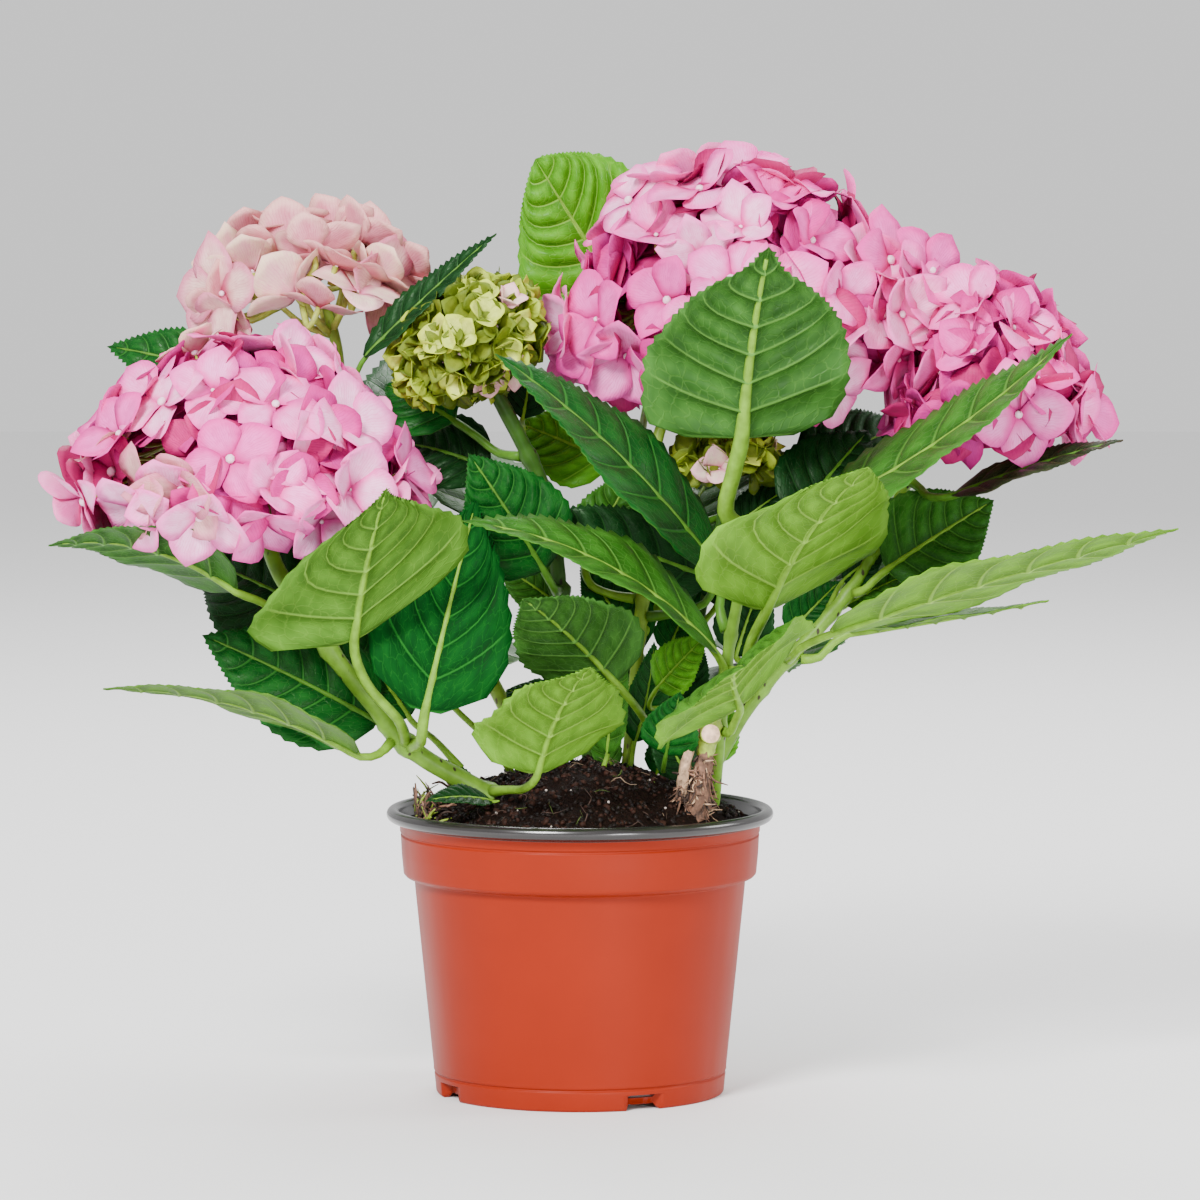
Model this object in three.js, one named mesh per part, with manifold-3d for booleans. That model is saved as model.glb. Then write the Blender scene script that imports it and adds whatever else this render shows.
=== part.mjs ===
// A mophead hydrangea in a plastic nursery pot, as separate closed solids.
// Millimetres, +Z up. The origin is the middle of the pot's flat underside, and -Y is the front.
import * as THREE from 'three';
import { mergeVertices } from 'three/addons/utils/BufferGeometryUtils.js';
import Module from 'manifold-3d';

const wasm = await Module();
wasm.setup();

// Driving dimensions
const clearance = 0.4; // gap kept between neighbouring solids
const potHeight = 104.5;
const wall = 1.3; // thickness of the pot's plastic
const floorTop = 4; // the pot's inner floor
const footRing = { outer: 52.6, inner: 50, height: 3, pad: 12 }; // with a pad in its middle
const lip = { radius: 68.2, roll: 2.4 }; // the rolled edge
const collar = { bottom: 80.5, foot: 64.4, top: 65.6, step: 60.4 }; // the wide band below the lip
const notches = { count: 4, first: 26, width: 9.5, height: 5.5, slope: 2.5 }; // cut in the foot ring
const potSides = 36;
const mound = { edge: 99, rise: 21, lump: 1.6, rings: 7, sides: 26 }; // the soil's top, highest at the stems
const petioleRadius = 1.6;
const petiolePull = 0.4; // how far a petiole runs straight at each end, over its length
const blade = { foot: 0.62, tip: 0.95, thinning: 0.3, end: 0.3 }; // powers, and the tip's radius
const headWave = 0.05; // depth of a flower head's lumps over its radius
const stemSides = 6;
const stemRows = 8;
const petioleRows = 3;
const bladeRows = 8;

const finishes = {
  clay: new THREE.MeshStandardMaterial({ color: 0xb2492a, roughness: 0.4, metalness: 0 }),
  peat: new THREE.MeshStandardMaterial({ color: 0x2a1c15, roughness: 1, metalness: 0 }),
  stem: new THREE.MeshStandardMaterial({ color: 0x7f9a4a, roughness: 0.6, metalness: 0 }),
  wood: new THREE.MeshStandardMaterial({ color: 0x9a7a52, roughness: 0.9, metalness: 0 }),
  leaf: new THREE.MeshStandardMaterial({ color: 0x3f7a2e, roughness: 0.5, metalness: 0 }),
  pink: new THREE.MeshStandardMaterial({ color: 0xe58bb8, roughness: 0.7, metalness: 0 }),
  hotPink: new THREE.MeshStandardMaterial({ color: 0xd45a9c, roughness: 0.7, metalness: 0 }),
  palePink: new THREE.MeshStandardMaterial({ color: 0xe8b9bd, roughness: 0.7, metalness: 0 }),
  lime: new THREE.MeshStandardMaterial({ color: 0xaebf62, roughness: 0.7, metalness: 0 }),
};

// Flower heads: uneven domes on radii [x, y, z], drawn in toward the top by taper, flattened below by under,
// with the right side raised by tilt, in degrees.
const heads = {
  left: {
    at: [-118, -35, 226], radii: [71, 60, 58], taper: 0.16,
    under: 0.5, detail: 4, seed: 1, finish: 'pink',
  },
  back: {
    at: [-98, 45, 294], radii: [46, 42, 34], taper: 0.1,
    under: 0.66, detail: 3, seed: 2, finish: 'palePink',
  },
  bud: {
    at: [-40, 5, 274], radii: [30, 26, 22], taper: 0, tilt: 30,
    under: 1, detail: 3, seed: 3, finish: 'lime',
  },
  main: {
    at: [58, 28, 283], radii: [75, 62, 63], taper: 0.18,
    under: 0.74, detail: 4, seed: 4, finish: 'pink',
  },
  small: {
    at: [54, 26, 228], radii: [21, 18, 12], taper: 0,
    under: 0.7, detail: 2, seed: 5, finish: 'lime',
  },
  right: {
    at: [153, 4, 254], radii: [40, 44, 50], taper: 0.28,
    under: 0.45, detail: 3, seed: 6, finish: 'hotPink',
  },
};

// Stems: points from the soil up, with the radius at foot and top. A stem carries its head and its leaves.
// A leaf grows at a share of the stem's length. Its blade runs from its foot to its tip, its upper side
// looks along face, arch bows it and fold lifts its two halves, in degrees.
const up = [0, 0, 1];
const front = [0, -1, 0.4];
const stems = {
  left: {
    points: [
      [-22, -18, 104], [-38, -24, 115], [-60, -30, 127],
      [-74, -34, 145], [-98, -36, 176], [-116, -34, 208],
    ],
    radii: [3.6, 2.5],
    leaves: [
      {
        at: 0.38, foot: [-79, -46, 128], tip: [-169, -66, 154], width: 42,
        face: [0, 0.2, 1], arch: 0.07, fold: 6,
      },
      { at: 0.36, foot: [-80, -66, 171], tip: [-67, -104, 228], width: 66, face: up, arch: 0.05, fold: 8 },
      {
        at: 0.34, foot: [-55, -59, 145], tip: [-37, -35, 219], width: 50,
        face: front, arch: 0.05, fold: 10,
      },
      {
        at: 0.42, foot: [-73, -16, 137], tip: [-137, -9, 168], width: 44,
        face: front, arch: 0.06, fold: 6,
      },
      { at: 0.66, foot: [-96, -6, 176], tip: [-140, 26, 193], width: 46, face: front, arch: 0.06, fold: 6 },
      {
        at: 0.78, foot: [-122, -58, 188], tip: [-187, -80, 206], width: 40,
        face: [0, 0.5, 1], arch: 0.04, fold: 8,
      },
      { at: 0.1, foot: [-15, -60, 123], tip: [4, -102, 165], width: 48, face: up, arch: 0.08, fold: 8 },
    ],
  },
  back: {
    points: [[-9, 18, 104], [-41, 30, 163], [-72, 38, 214], [-87, 42, 250], [-91, 44, 285]],
    radii: [3.2, 2.2],
    leaves: [
      { at: 0.72, foot: [-118, 52, 254], tip: [-176, 66, 269], width: 28, face: front, arch: 0.1, fold: 8 },
      {
        at: 0.72, foot: [-78, 0, 268], tip: [-30, 0, 313], width: 22,
        face: [-0.7, -1, 0.6], arch: 0.02, fold: 25,
      },
    ],
  },
  bud: {
    points: [[7, 12, 104], [-7, 14, 179], [-12, 10, 216], [-24, 6, 243], [-32, 5, 258]],
    radii: [3.3, 2.8],
    leaves: [
      { at: 0.82, foot: [-46, 22, 244], tip: [-72, 42, 256], width: 28, face: front, arch: 0.08, fold: 8 },
      { at: 0.72, foot: [-33, 26, 226], tip: [-66, 46, 234], width: 30, face: front, arch: 0.12, fold: 10 },
      { at: 0.5, foot: [-13, -16, 192], tip: [-40, -26, 235], width: 40, face: front, arch: 0.06, fold: 8 },
    ],
  },
  main: {
    points: [[16, 4, 104], [25, 12, 203], [28, 16, 238], [36, 20, 252]],
    radii: [2.6, 2.2],
    leaves: [
      {
        at: 0.86, foot: [16, 94, 286], tip: [-17, 98, 338], width: 60,
        face: [0, -1, -0.2], arch: 0.05, fold: 6,
      },
      { at: 0.75, foot: [12, 54, 226], tip: [-24, 64, 241], width: 32, face: front, arch: 0.05, fold: 6 },
      { at: 0.5, foot: [2, 18, 192], tip: [20, 28, 226], width: 24, face: front, arch: 0.05, fold: 8 },
      { at: 0.46, foot: [48, -6, 188], tip: [-20, -10, 212], width: 30, face: front, arch: 0.04, fold: 10 },
      { at: 0.6, foot: [78, 2, 209], tip: [106, 30, 240], width: 36, face: front, arch: 0.06, fold: 8 },
      { at: 0.68, foot: [82, 50, 222], tip: [122, 72, 240], width: 34, face: front, arch: 0.06, fold: 8 },
    ],
  },
  small: {
    points: [[30, 22, 104], [44, 26, 170], [51, 26, 204], [54, 26, 221]],
    radii: [2, 1.7],
    leaves: [
      {
        at: 0.16, foot: [13, -45, 154], tip: [-20, -90, 188], width: 44,
        face: [0, 1, 0.6], arch: 0.05, fold: 8,
      },
      { at: 0.3, foot: [28, -22, 150], tip: [46, -38, 171], width: 18, face: front, arch: 0.05, fold: 8 },
      { at: 0.2, foot: [31, -34, 127], tip: [36, -46, 151], width: 21, face: front, arch: 0.05, fold: 8 },
    ],
  },
  front: {
    points: [[48, -14, 104], [53, -36, 162], [58, -46, 192], [60, -54, 212]],
    radii: [2.8, 2],
    leaves: [
      { at: 0.98, foot: [57, -72, 243], tip: [66, -106, 312], width: 74, face: up, arch: 0.05, fold: 6 },
      { at: 0.5, foot: [66, -66, 182], tip: [101, -100, 235], width: 74, face: up, arch: 0.06, fold: 6 },
      {
        at: 0.62, foot: [48, -34, 196], tip: [-30, -50, 272], width: 44,
        face: [0, -0.5, 1], arch: 0.05, fold: 8,
      },
      {
        at: 0.4, foot: [49, -48, 165], tip: [-42, -72, 214], width: 42,
        face: [0, -0.4, 1], arch: 0.1, fold: 14,
      },
      { at: 0.3, foot: [57, -54, 146], tip: [58, -112, 166], width: 50, face: up, arch: 0.1, fold: 20 },
    ],
  },
  right: {
    points: [[40, -4, 104], [65, -10, 148], [92, -8, 176], [109, 0, 200], [118, 4, 222], [130, 6, 240]],
    radii: [3, 2],
    leaves: [
      {
        at: 0.7, foot: [84, -36, 214], tip: [174, -68, 280], width: 38,
        face: [0, -0.5, 1], arch: -0.04, fold: 10,
      },
      { at: 0.6, foot: [111, -12, 192], tip: [150, -8, 217], width: 34, face: front, arch: 0.04, fold: 6 },
      {
        at: 0.88, foot: [134, -25, 220], tip: [194, -43, 241], width: 28,
        face: [0, -0.3, 1], arch: 0.02, fold: 6,
      },
      {
        at: 0.4, foot: [90, -46, 172], tip: [211, -80, 212], width: 52,
        face: [0, 0.3, 1], arch: -0.01, fold: 6,
      },
      { at: 0.42, foot: [98, -10, 169], tip: [169, -25, 182], width: 30, face: up, arch: -0.01, fold: 8 },
    ],
  },
};

// Leaves round the back, each by one rule: its stem, its share of the stem's length, its bearing and rise
// in degrees, and its length.
const backLeaves = {
  petiole: 34,
  lift: 6, // a blade's foot stands this far above the petiole's line
  slim: 0.58, // width over length
  arch: 0.09,
  fold: 12,
  rows: [
    ['back', 0.3, 136, -8, 88], ['back', 0.42, 162, 4, 66], ['back', 0.5, 112, 2, 98],
    ['back', 0.58, 146, 24, 72], ['back', 0.66, 72, 20, 84],
    ['bud', 0.28, 104, -6, 98], ['bud', 0.5, 120, 18, 90],
    ['main', 0.24, 70, -6, 96], ['main', 0.42, 66, 30, 86], ['main', 0.62, 17, -9, 74],
    ['right', 0.32, 84, -6, 88], ['right', 0.54, 88, -2, 84], ['right', 0.78, 94, -8, 74],
  ],
};

const vector = (numbers) => new THREE.Vector3(...numbers);

// The part of a vector that is square to an axis, at unit length.
function squareTo(axis, hint) {
  return hint.clone().addScaledVector(axis, -hint.dot(axis)).normalize();
}

// A closed geometry as a solid, and back.
function solidOf(geometry) {
  geometry.deleteAttribute('normal');
  geometry.deleteAttribute('uv');
  const merged = mergeVertices(geometry, 1e-4);
  return new wasm.Manifold(new wasm.Mesh({
    numProp: 3,
    vertProperties: new Float32Array(merged.attributes.position.array),
    triVerts: new Uint32Array(merged.index.array),
  }));
}

function meshOf(name, solid, material) {
  const { vertProperties, triVerts } = solid.getMesh();
  const geometry = new THREE.BufferGeometry();
  geometry.setAttribute('position', new THREE.BufferAttribute(vertProperties, 3));
  geometry.setIndex(new THREE.BufferAttribute(triVerts, 1));
  geometry.computeVertexNormals();
  const mesh = new THREE.Mesh(geometry, material);
  mesh.name = name;
  return mesh;
}

// What is left of a solid clear of its neighbours: its largest body.
function clearOf(solid, neighbours) {
  const cut = neighbours.reduce((rest, neighbour) => rest.subtract(neighbour), solid);
  return cut.decompose().sort((a, b) => b.volume() - a.volume())[0];
}

// A closed cylinder bent to a shape. ring(row) places that row's points, given across and up from -1 to 1.
function loft(sides, rows, ring) {
  const geometry = new THREE.CylinderGeometry(1, 1, rows, sides, rows);
  const position = geometry.attributes.position;
  for (let i = 0; i < position.count; i++) {
    const row = Math.round(position.getY(i) + rows / 2);
    const place = ring(row)(position.getX(i), position.getZ(i));
    position.setXYZ(i, place.x, place.y, place.z);
  }
  return solidOf(geometry);
}

function roundRing(centre, tangent, hint, radius) {
  const lift = squareTo(tangent, hint);
  const side = tangent.clone().cross(lift);
  return (x, z) => centre.clone().addScaledVector(side, x * radius).addScaledVector(lift, z * radius);
}

function taperedLimb(curve, radii, rows, sides) {
  const hint = new THREE.Vector3(0.3, 1, 0.2);
  return loft(sides, rows, (row) => {
    const share = row / rows;
    const radius = THREE.MathUtils.lerp(radii[0], radii[1], share);
    return roundRing(curve.getPointAt(share), curve.getTangentAt(share), hint, radius);
  });
}

// The pot: a turned wall with collar, lip and recessed underside, and drain notches cut in its foot ring.
function potSolid() {
  const point = (radius, height) => new THREE.Vector2(radius, height);
  const lipHeight = potHeight - lip.roll;
  const rolledLip = [];
  for (let degrees = -60; degrees <= 180; degrees += 48) {
    const angle = THREE.MathUtils.degToRad(degrees);
    rolledLip.push(point(lip.radius + lip.roll * Math.cos(angle), lipHeight + lip.roll * Math.sin(angle)));
  }
  const profile = [
    point(0, 0),
    point(footRing.pad, 0),
    point(footRing.pad + 1, footRing.height - 1),
    point(footRing.inner - 1, footRing.height - 1),
    point(footRing.inner, 0),
    point(footRing.outer - 0.8, 0),
    point(footRing.outer, 1),
    point(collar.step, collar.bottom - 2.5),
    point(collar.foot - 1, collar.bottom - 1.2),
    point(collar.foot, collar.bottom + 1.5),
    point(collar.top, lipHeight - lip.roll - 0.8),
    ...rolledLip,
    point(collar.top - wall, lipHeight - 2),
    point(collar.foot - wall, collar.bottom + 2),
    point(collar.step - wall, collar.bottom - 2),
    point(footRing.outer - wall, floorTop + 2),
    point(footRing.outer - wall - 2, floorTop),
    point(0, floorTop),
  ];
  let pot = solidOf(new THREE.LatheGeometry(profile, potSides).rotateX(Math.PI / 2));
  const halfWidth = notches.width / 2;
  const slot = new THREE.Shape([
    point(-halfWidth - notches.slope, -1),
    point(halfWidth + notches.slope, -1),
    point(halfWidth, notches.height),
    point(-halfWidth, notches.height),
  ]);
  const through = footRing.outer - footRing.inner + 2;
  for (let i = 0; i < notches.count; i++) {
    const notch = new THREE.ExtrudeGeometry(slot, { depth: through, bevelEnabled: false });
    notch.rotateX(Math.PI / 2);
    notch.translate(0, 1 - footRing.inner, 0);
    notch.rotateZ(THREE.MathUtils.degToRad(notches.first + (360 / notches.count) * i));
    pot = pot.subtract(solidOf(notch));
  }
  return pot;
}

// The soil fills the pot and rises in an uneven mound to the stems.
function soilSolid(grow = 0) {
  const point = (radius, height) => new THREE.Vector2(radius, height);
  const edge = collar.top - wall - 2 * clearance;
  const profile = [
    point(0, floorTop + clearance),
    point(footRing.outer - wall - 2 - clearance, floorTop + clearance),
    point(collar.step - wall - 2 * clearance, collar.bottom - 1),
    point(edge - 1.2, collar.bottom + 4),
  ];
  for (let ring = 0; ring <= mound.rings; ring++) {
    profile.push(point(edge * (1 - ring / mound.rings), mound.edge));
  }
  const geometry = new THREE.LatheGeometry(profile, mound.sides).rotateX(Math.PI / 2);
  const position = geometry.attributes.position;
  for (let i = 0; i < position.count; i++) {
    const [x, y, z] = [position.getX(i), position.getY(i), position.getZ(i)];
    if (z < mound.edge - 1) continue;
    const share = Math.min(1, Math.hypot(x, y) / edge);
    const lumps = mound.lump * Math.sin(x / 7) * Math.cos(y / 8 + x / 19) * (1 - share);
    position.setZ(i, z + mound.rise * (1 - share ** 2) ** 1.2 + lumps + grow);
  }
  return solidOf(geometry);
}

function headSolid(head, grow = 0) {
  const geometry = new THREE.IcosahedronGeometry(1, head.detail);
  const position = geometry.attributes.position;
  const centre = vector(head.at);
  const radii = vector(head.radii).addScalar(grow);
  for (let i = 0; i < position.count; i++) {
    const way = new THREE.Vector3().fromBufferAttribute(position, i).normalize();
    const wave = Math.sin(5 * way.x + head.seed) * Math.sin(4 * way.y + 2 * head.seed);
    const place = way.clone().multiply(radii).multiplyScalar(1 + headWave * wave);
    const draw = 1 - head.taper * Math.max(0, 2 * way.z * Math.hypot(way.x, way.y));
    place.multiply(new THREE.Vector3(draw, draw, way.z < 0 ? head.under : 1));
    place.applyAxisAngle(vector([0, -1, 0]), THREE.MathUtils.degToRad(head.tilt ?? 0)).add(centre);
    position.setXYZ(i, place.x, place.y, place.z);
  }
  return solidOf(geometry);
}

// Half width of a blade at a share of its length, as a share of its greatest half width.
function bladeOutline(share) {
  const peak = blade.foot / (blade.foot + blade.tip);
  return (share / peak) ** blade.foot * ((1 - share) / (1 - peak)) ** blade.tip;
}

// One leaf: a round petiole from the stem's surface, then a thin folded blade.
function leafSolid(curve, radii, leaf) {
  const root = curve.getPointAt(leaf.at);
  const foot = vector(leaf.foot);
  const tip = vector(leaf.tip);
  const axis = tip.clone().sub(foot).normalize();
  const lift = squareTo(axis, vector(leaf.face));
  const side = axis.clone().cross(lift);
  const leave = squareTo(curve.getTangentAt(leaf.at), foot.clone().sub(root));
  const start = root.clone().addScaledVector(leave, THREE.MathUtils.lerp(...radii, leaf.at) + 2 * clearance);
  const pull = petiolePull * start.distanceTo(foot);
  const petiole = new THREE.CubicBezierCurve3(
    start,
    start.clone().addScaledVector(leave, pull),
    foot.clone().addScaledVector(axis, -pull),
    foot,
  );
  const length = foot.distanceTo(tip);
  const fold = THREE.MathUtils.degToRad(leaf.fold);
  const bladeRing = (share) => {
    const half = Math.max((leaf.width / 2) * bladeOutline(share), blade.end);
    const reach = share > 0 ? half : petioleRadius;
    const thick = THREE.MathUtils.lerp(petioleRadius, blade.end, share ** blade.thinning);
    const bow = 4 * leaf.arch * length * share * (1 - share);
    const centre = foot.clone().addScaledVector(axis, length * share).addScaledVector(lift, bow);
    return (x, z) => centre.clone()
      .addScaledVector(side, x * reach * Math.cos(fold))
      .addScaledVector(lift, Math.abs(x) * reach * Math.sin(fold) + z * thick);
  };
  return loft(4, petioleRows + bladeRows, (row) => {
    if (row < petioleRows) {
      const share = row / petioleRows;
      return roundRing(petiole.getPointAt(share), petiole.getTangentAt(share), lift, petioleRadius);
    }
    return bladeRing((row - petioleRows) / bladeRows);
  });
}

function backLeaf(curve, [, at, bearing, rise, length]) {
  const turn = THREE.MathUtils.degToRad(bearing);
  const tilt = THREE.MathUtils.degToRad(rise);
  const out = new THREE.Vector3(Math.cos(tilt), 0, Math.sin(tilt)).applyAxisAngle(vector(up), turn);
  const foot = curve.getPointAt(at).addScaledVector(out, backLeaves.petiole);
  foot.z += backLeaves.lift;
  const tip = foot.clone().addScaledVector(out, length);
  const { slim, arch, fold } = backLeaves;
  return { at, foot: foot.toArray(), tip: tip.toArray(), width: slim * length, face: up, arch, fold };
}

// The old stem, cut off short beside the young ones.
const stub = {
  points: [[43, -34, 104], [42, -35, 120], [45, -36, 137]],
  radii: [5.4, 4.4],
  rows: 3,
  sides: 8,
};

const group = new THREE.Group();
const soilGrown = soilSolid(clearance);
const headsGrown = Object.values(heads).map((head) => headSolid(head, 1.5 * clearance));
const curveOf = (limb) => new THREE.CatmullRomCurve3(limb.points.map(vector));

group.add(meshOf('pot', potSolid(), finishes.clay));
group.add(meshOf('soil', soilSolid(), finishes.peat));
const cutStem = clearOf(taperedLimb(curveOf(stub), stub.radii, stub.rows, stub.sides), [soilGrown]);
group.add(meshOf('stub', cutStem, finishes.wood));
Object.entries(heads).forEach(([name, head], i) => {
  const dome = clearOf(headSolid(head), headsGrown.slice(0, i));
  group.add(meshOf(`head_${name}`, dome, finishes[head.finish]));
});
for (const [name, stem] of Object.entries(stems)) {
  const curve = curveOf(stem);
  const limb = clearOf(taperedLimb(curve, stem.radii, stemRows, stemSides), [soilGrown, ...headsGrown]);
  group.add(meshOf(`stem_${name}`, limb, finishes.stem));
  const behind = backLeaves.rows.filter(([owner]) => owner === name).map((row) => backLeaf(curve, row));
  [...stem.leaves, ...behind].forEach((leaf, i) => {
    group.add(meshOf(`leaf_${name}_${i + 1}`, leafSolid(curve, stem.radii, leaf), finishes.leaf));
  });
}

export default group;
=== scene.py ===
import bmesh
import bpy
import math
import numpy as np
import random
from functools import partial
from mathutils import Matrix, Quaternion, Vector, noise
from mathutils.bvhtree import BVHTree


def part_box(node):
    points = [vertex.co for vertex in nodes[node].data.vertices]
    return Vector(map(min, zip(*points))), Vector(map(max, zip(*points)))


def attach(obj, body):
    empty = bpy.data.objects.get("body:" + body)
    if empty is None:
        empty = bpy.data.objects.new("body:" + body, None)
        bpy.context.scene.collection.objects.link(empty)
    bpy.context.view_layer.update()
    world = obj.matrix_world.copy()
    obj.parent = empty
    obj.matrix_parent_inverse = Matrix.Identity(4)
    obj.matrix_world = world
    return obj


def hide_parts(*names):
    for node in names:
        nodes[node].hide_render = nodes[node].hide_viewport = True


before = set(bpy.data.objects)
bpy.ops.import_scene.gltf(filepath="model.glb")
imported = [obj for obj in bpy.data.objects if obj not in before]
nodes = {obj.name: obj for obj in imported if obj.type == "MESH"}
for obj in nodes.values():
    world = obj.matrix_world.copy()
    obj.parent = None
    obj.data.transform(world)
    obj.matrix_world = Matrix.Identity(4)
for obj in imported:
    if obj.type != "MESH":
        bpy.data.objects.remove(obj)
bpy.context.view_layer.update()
mm = 0.001


def put(tree, kind, inputs=None, **settings):
    # a new node's outputs, once its inputs are linked or set
    node = tree.nodes.new("ShaderNode" + kind)
    for name, value in settings.items():
        setattr(node, name, value)
    for key, value in (inputs or {}).items():
        if isinstance(value, bpy.types.NodeSocket):
            tree.links.new(value, node.inputs[key])
        else:
            node.inputs[key].default_value = value
    return node.outputs


def sums(tree, operation, *values):
    return put(tree, "Math", dict(enumerate(values)), operation=operation)[0]


def ramped(tree, value, low, high, start=0.0, end=1.0):
    inputs = {"Value": value, "From Min": low, "From Max": high, "To Min": start, "To Max": end}
    return put(tree, "MapRange", inputs, interpolation_type="SMOOTHSTEP")[0]


def blended(tree, share, a, b, kind="MIX"):
    a, b = (value if isinstance(value, bpy.types.NodeSocket) else (*value, 1) for value in (a, b))
    return put(tree, "Mix", {0: share, 6: a, 7: b}, data_type="RGBA", blend_type=kind)[2]


def layered(tree, pattern, colour, layers):
    # tones laid over a colour, each by a share of one part of the pattern
    for key, share, tone in layers:
        colour = blended(tree, sums(tree, "MULTIPLY", pattern[key], share), colour, tone)
    return colour


def newGroup(name, inputs):
    # an input without a value is a vector
    group = bpy.data.node_groups.new(name, "ShaderNodeTree")
    for label, value in inputs.items():
        kind = "Vector" if value is None else "Float" if isinstance(value, float) else "Color"
        socket = group.interface.new_socket(label, in_out="INPUT", socket_type="NodeSocket" + kind)
        if value is not None:
            socket.default_value = value
    return group, group.nodes.new("NodeGroupInput").outputs


def handedOut(group, **values):
    for label in values:
        kind = "Color" if label == "Colour" else "Float"
        group.interface.new_socket(label, in_out="OUTPUT", socket_type="NodeSocket" + kind)
    made = group.nodes.new("NodeGroupOutput").inputs
    for label, value in values.items():
        group.links.new(value, made[label])
    return group


def makeGrain():
    # soft mottling of a colour with a height to go with it
    group, given = newGroup("grain", {"Place": None, "Colour": (1, 1, 1, 1), "Scale": 50.0, "Strength": 0.2})
    spots = put(group, "TexNoise", {"Vector": given["Place"], "Scale": given["Scale"], "Detail": 4.0})[0]
    low, high = (sums(group, sign, 1.0, given["Strength"]) for sign in ("SUBTRACT", "ADD"))
    inputs = {"Value": spots, "From Min": 0.3, "From Max": 0.7, "To Min": low, "To Max": high}
    shade = put(group, "MapRange", inputs)[0]
    grey = put(group, "CombineColor", {0: shade, 1: shade, 2: shade})[0]
    return handedOut(group, Colour=blended(group, 1.0, given["Colour"], grey, "MULTIPLY"), Height=spots)


grain = makeGrain()


def newMaterial(name, roughness, **settings):
    material = bpy.data.materials.new(name)
    material.use_nodes = True
    shader = material.node_tree.nodes["Principled BSDF"]
    shader.inputs["Roughness"].default_value = roughness
    for label, value in settings.items():
        shader.inputs[label.replace("_", " ")].default_value = value
    return material, material.node_tree, shader


def dressed(tree, shader, colour, height, strength, distance, roughness=None):
    # a shader's colour and relief, and a roughness that varies
    tree.links.new(colour, shader.inputs["Base Color"])
    if roughness:
        tree.links.new(roughness, shader.inputs["Roughness"])
    bump = put(tree, "Bump", {"Height": height, "Strength": strength, "Distance": distance})[0]
    tree.links.new(bump, shader.inputs["Normal"])


def grained(tree, colour, scale, strength):
    place = put(tree, "TexCoord")["Object"]
    inputs = {"Place": place, "Colour": (*colour, 1), "Scale": scale, "Strength": strength}
    return place, put(tree, "Group", inputs, node_tree=grain)


def grainy(name, colour, scale, strength, roughness, bump=0.3, distance=0.0004, **settings):
    material, tree, shader = newMaterial(name, roughness, **settings)
    look = grained(tree, colour, scale, strength)[1]
    dressed(tree, shader, look["Colour"], look["Height"], bump, distance)
    return material


def patterned(tree, pattern, wayName):
    return put(tree, "Group", {"Way": put(tree, "UVMap", uv_map=wayName)[0]}, node_tree=pattern)


def linked(name, data, place=(0, 0, 0), back=None):
    # an object in the scene; a camera or a lamp looks away from its back
    thing = bpy.data.objects.new(name, data)
    thing.location = place
    if back:
        thing.rotation_euler = back.to_track_quat("Z", "Y").to_euler()
    bpy.context.scene.collection.objects.link(thing)
    return thing


def meshFrom(bm, name):
    mesh = bpy.data.meshes.new(name)
    for face in bm.faces:
        face.smooth = True
    bm.to_mesh(mesh)
    bm.free()
    return mesh


def arraysOf(bm):
    # a template's arrays, so that it can be bent and joined many times over
    bm.verts.index_update()
    uv = bm.loops.layers.uv.active
    loops = [loop for face in bm.faces for loop in face.loops]
    arrays = {
        "co": np.array([v.co for v in bm.verts]),
        "corner": np.array([loop.vert.index for loop in loops]),
        "count": np.array([len(face.verts) for face in bm.faces]),
        "skin": np.array([face.material_index for face in bm.faces]),
        "uv": np.array([loop[uv].uv for loop in loops]) if uv else np.zeros((len(loops), 2)),
    }
    bm.free()
    return arrays


def joined(name, stamps, materials, replaced=(), wayName=None):
    # one mesh from many stamps: a template, its bent points and what is added to its material numbers
    starts = np.cumsum([0] + [len(points) for _, points, _ in stamps])
    rows = [
        (points, template["corner"] + start, template["count"], template["skin"] + shift, template["uv"])
        for (template, points, shift), start in zip(stamps, starts)
    ]
    co, corner, count, skin, uv = (np.concatenate(column) for column in zip(*rows))
    mesh = bpy.data.meshes.new(name)
    mesh.vertices.add(len(co))
    mesh.loops.add(len(corner))
    mesh.polygons.add(len(count))
    mesh.vertices.foreach_set("co", co.astype(np.float32).ravel())
    mesh.loops.foreach_set("vertex_index", corner.astype(np.int32))
    firsts = np.concatenate(([0], np.cumsum(count)[:-1]))
    mesh.polygons.foreach_set("loop_start", firsts.astype(np.int32))
    mesh.polygons.foreach_set("material_index", skin.astype(np.int32))
    mesh.polygons.foreach_set("use_smooth", np.ones(len(count), bool))
    if wayName:
        # every stamp shares its material's cell of the bake map, since the pattern follows the way
        cell, side, margin = np.repeat(skin, count), math.ceil(math.sqrt(len(materials))), 0.02
        corners = np.stack((cell % side, cell // side), axis=1)
        packed = (corners + margin + (1 - 2 * margin) * np.clip(uv, 0, 1)) / side
        for layer, values in ((wayName, uv), ("OFBake", packed)):
            mesh.uv_layers.new(name=layer).data.foreach_set("uv", values.astype(np.float32).ravel())
        mesh.uv_layers.active = mesh.uv_layers[wayName]
        mesh.uv_layers[wayName].active_render = True
    mesh.update()
    mesh.validate()
    finished(mesh, materials, replaced)


def finished(mesh, materials, replaced):
    for material in materials:
        mesh.materials.append(material)
    piece = linked(mesh.name, mesh)
    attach(piece, "root")
    if replaced:
        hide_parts(*replaced)


def partsOf(geom, kind):
    return [part for part in geom if isinstance(part, kind)]


def edgeLoop(bm):
    return [edge for edge in bm.edges if edge.is_boundary]


def onDisc(x, y):
    # a square's point drawn in to the disc it holds
    return x * math.sqrt(1 - y * y / 2), y * math.sqrt(1 - x * x / 2)


def hump(at, middle, width):
    return np.exp(-(((at - middle) / width) ** 2))


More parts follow.
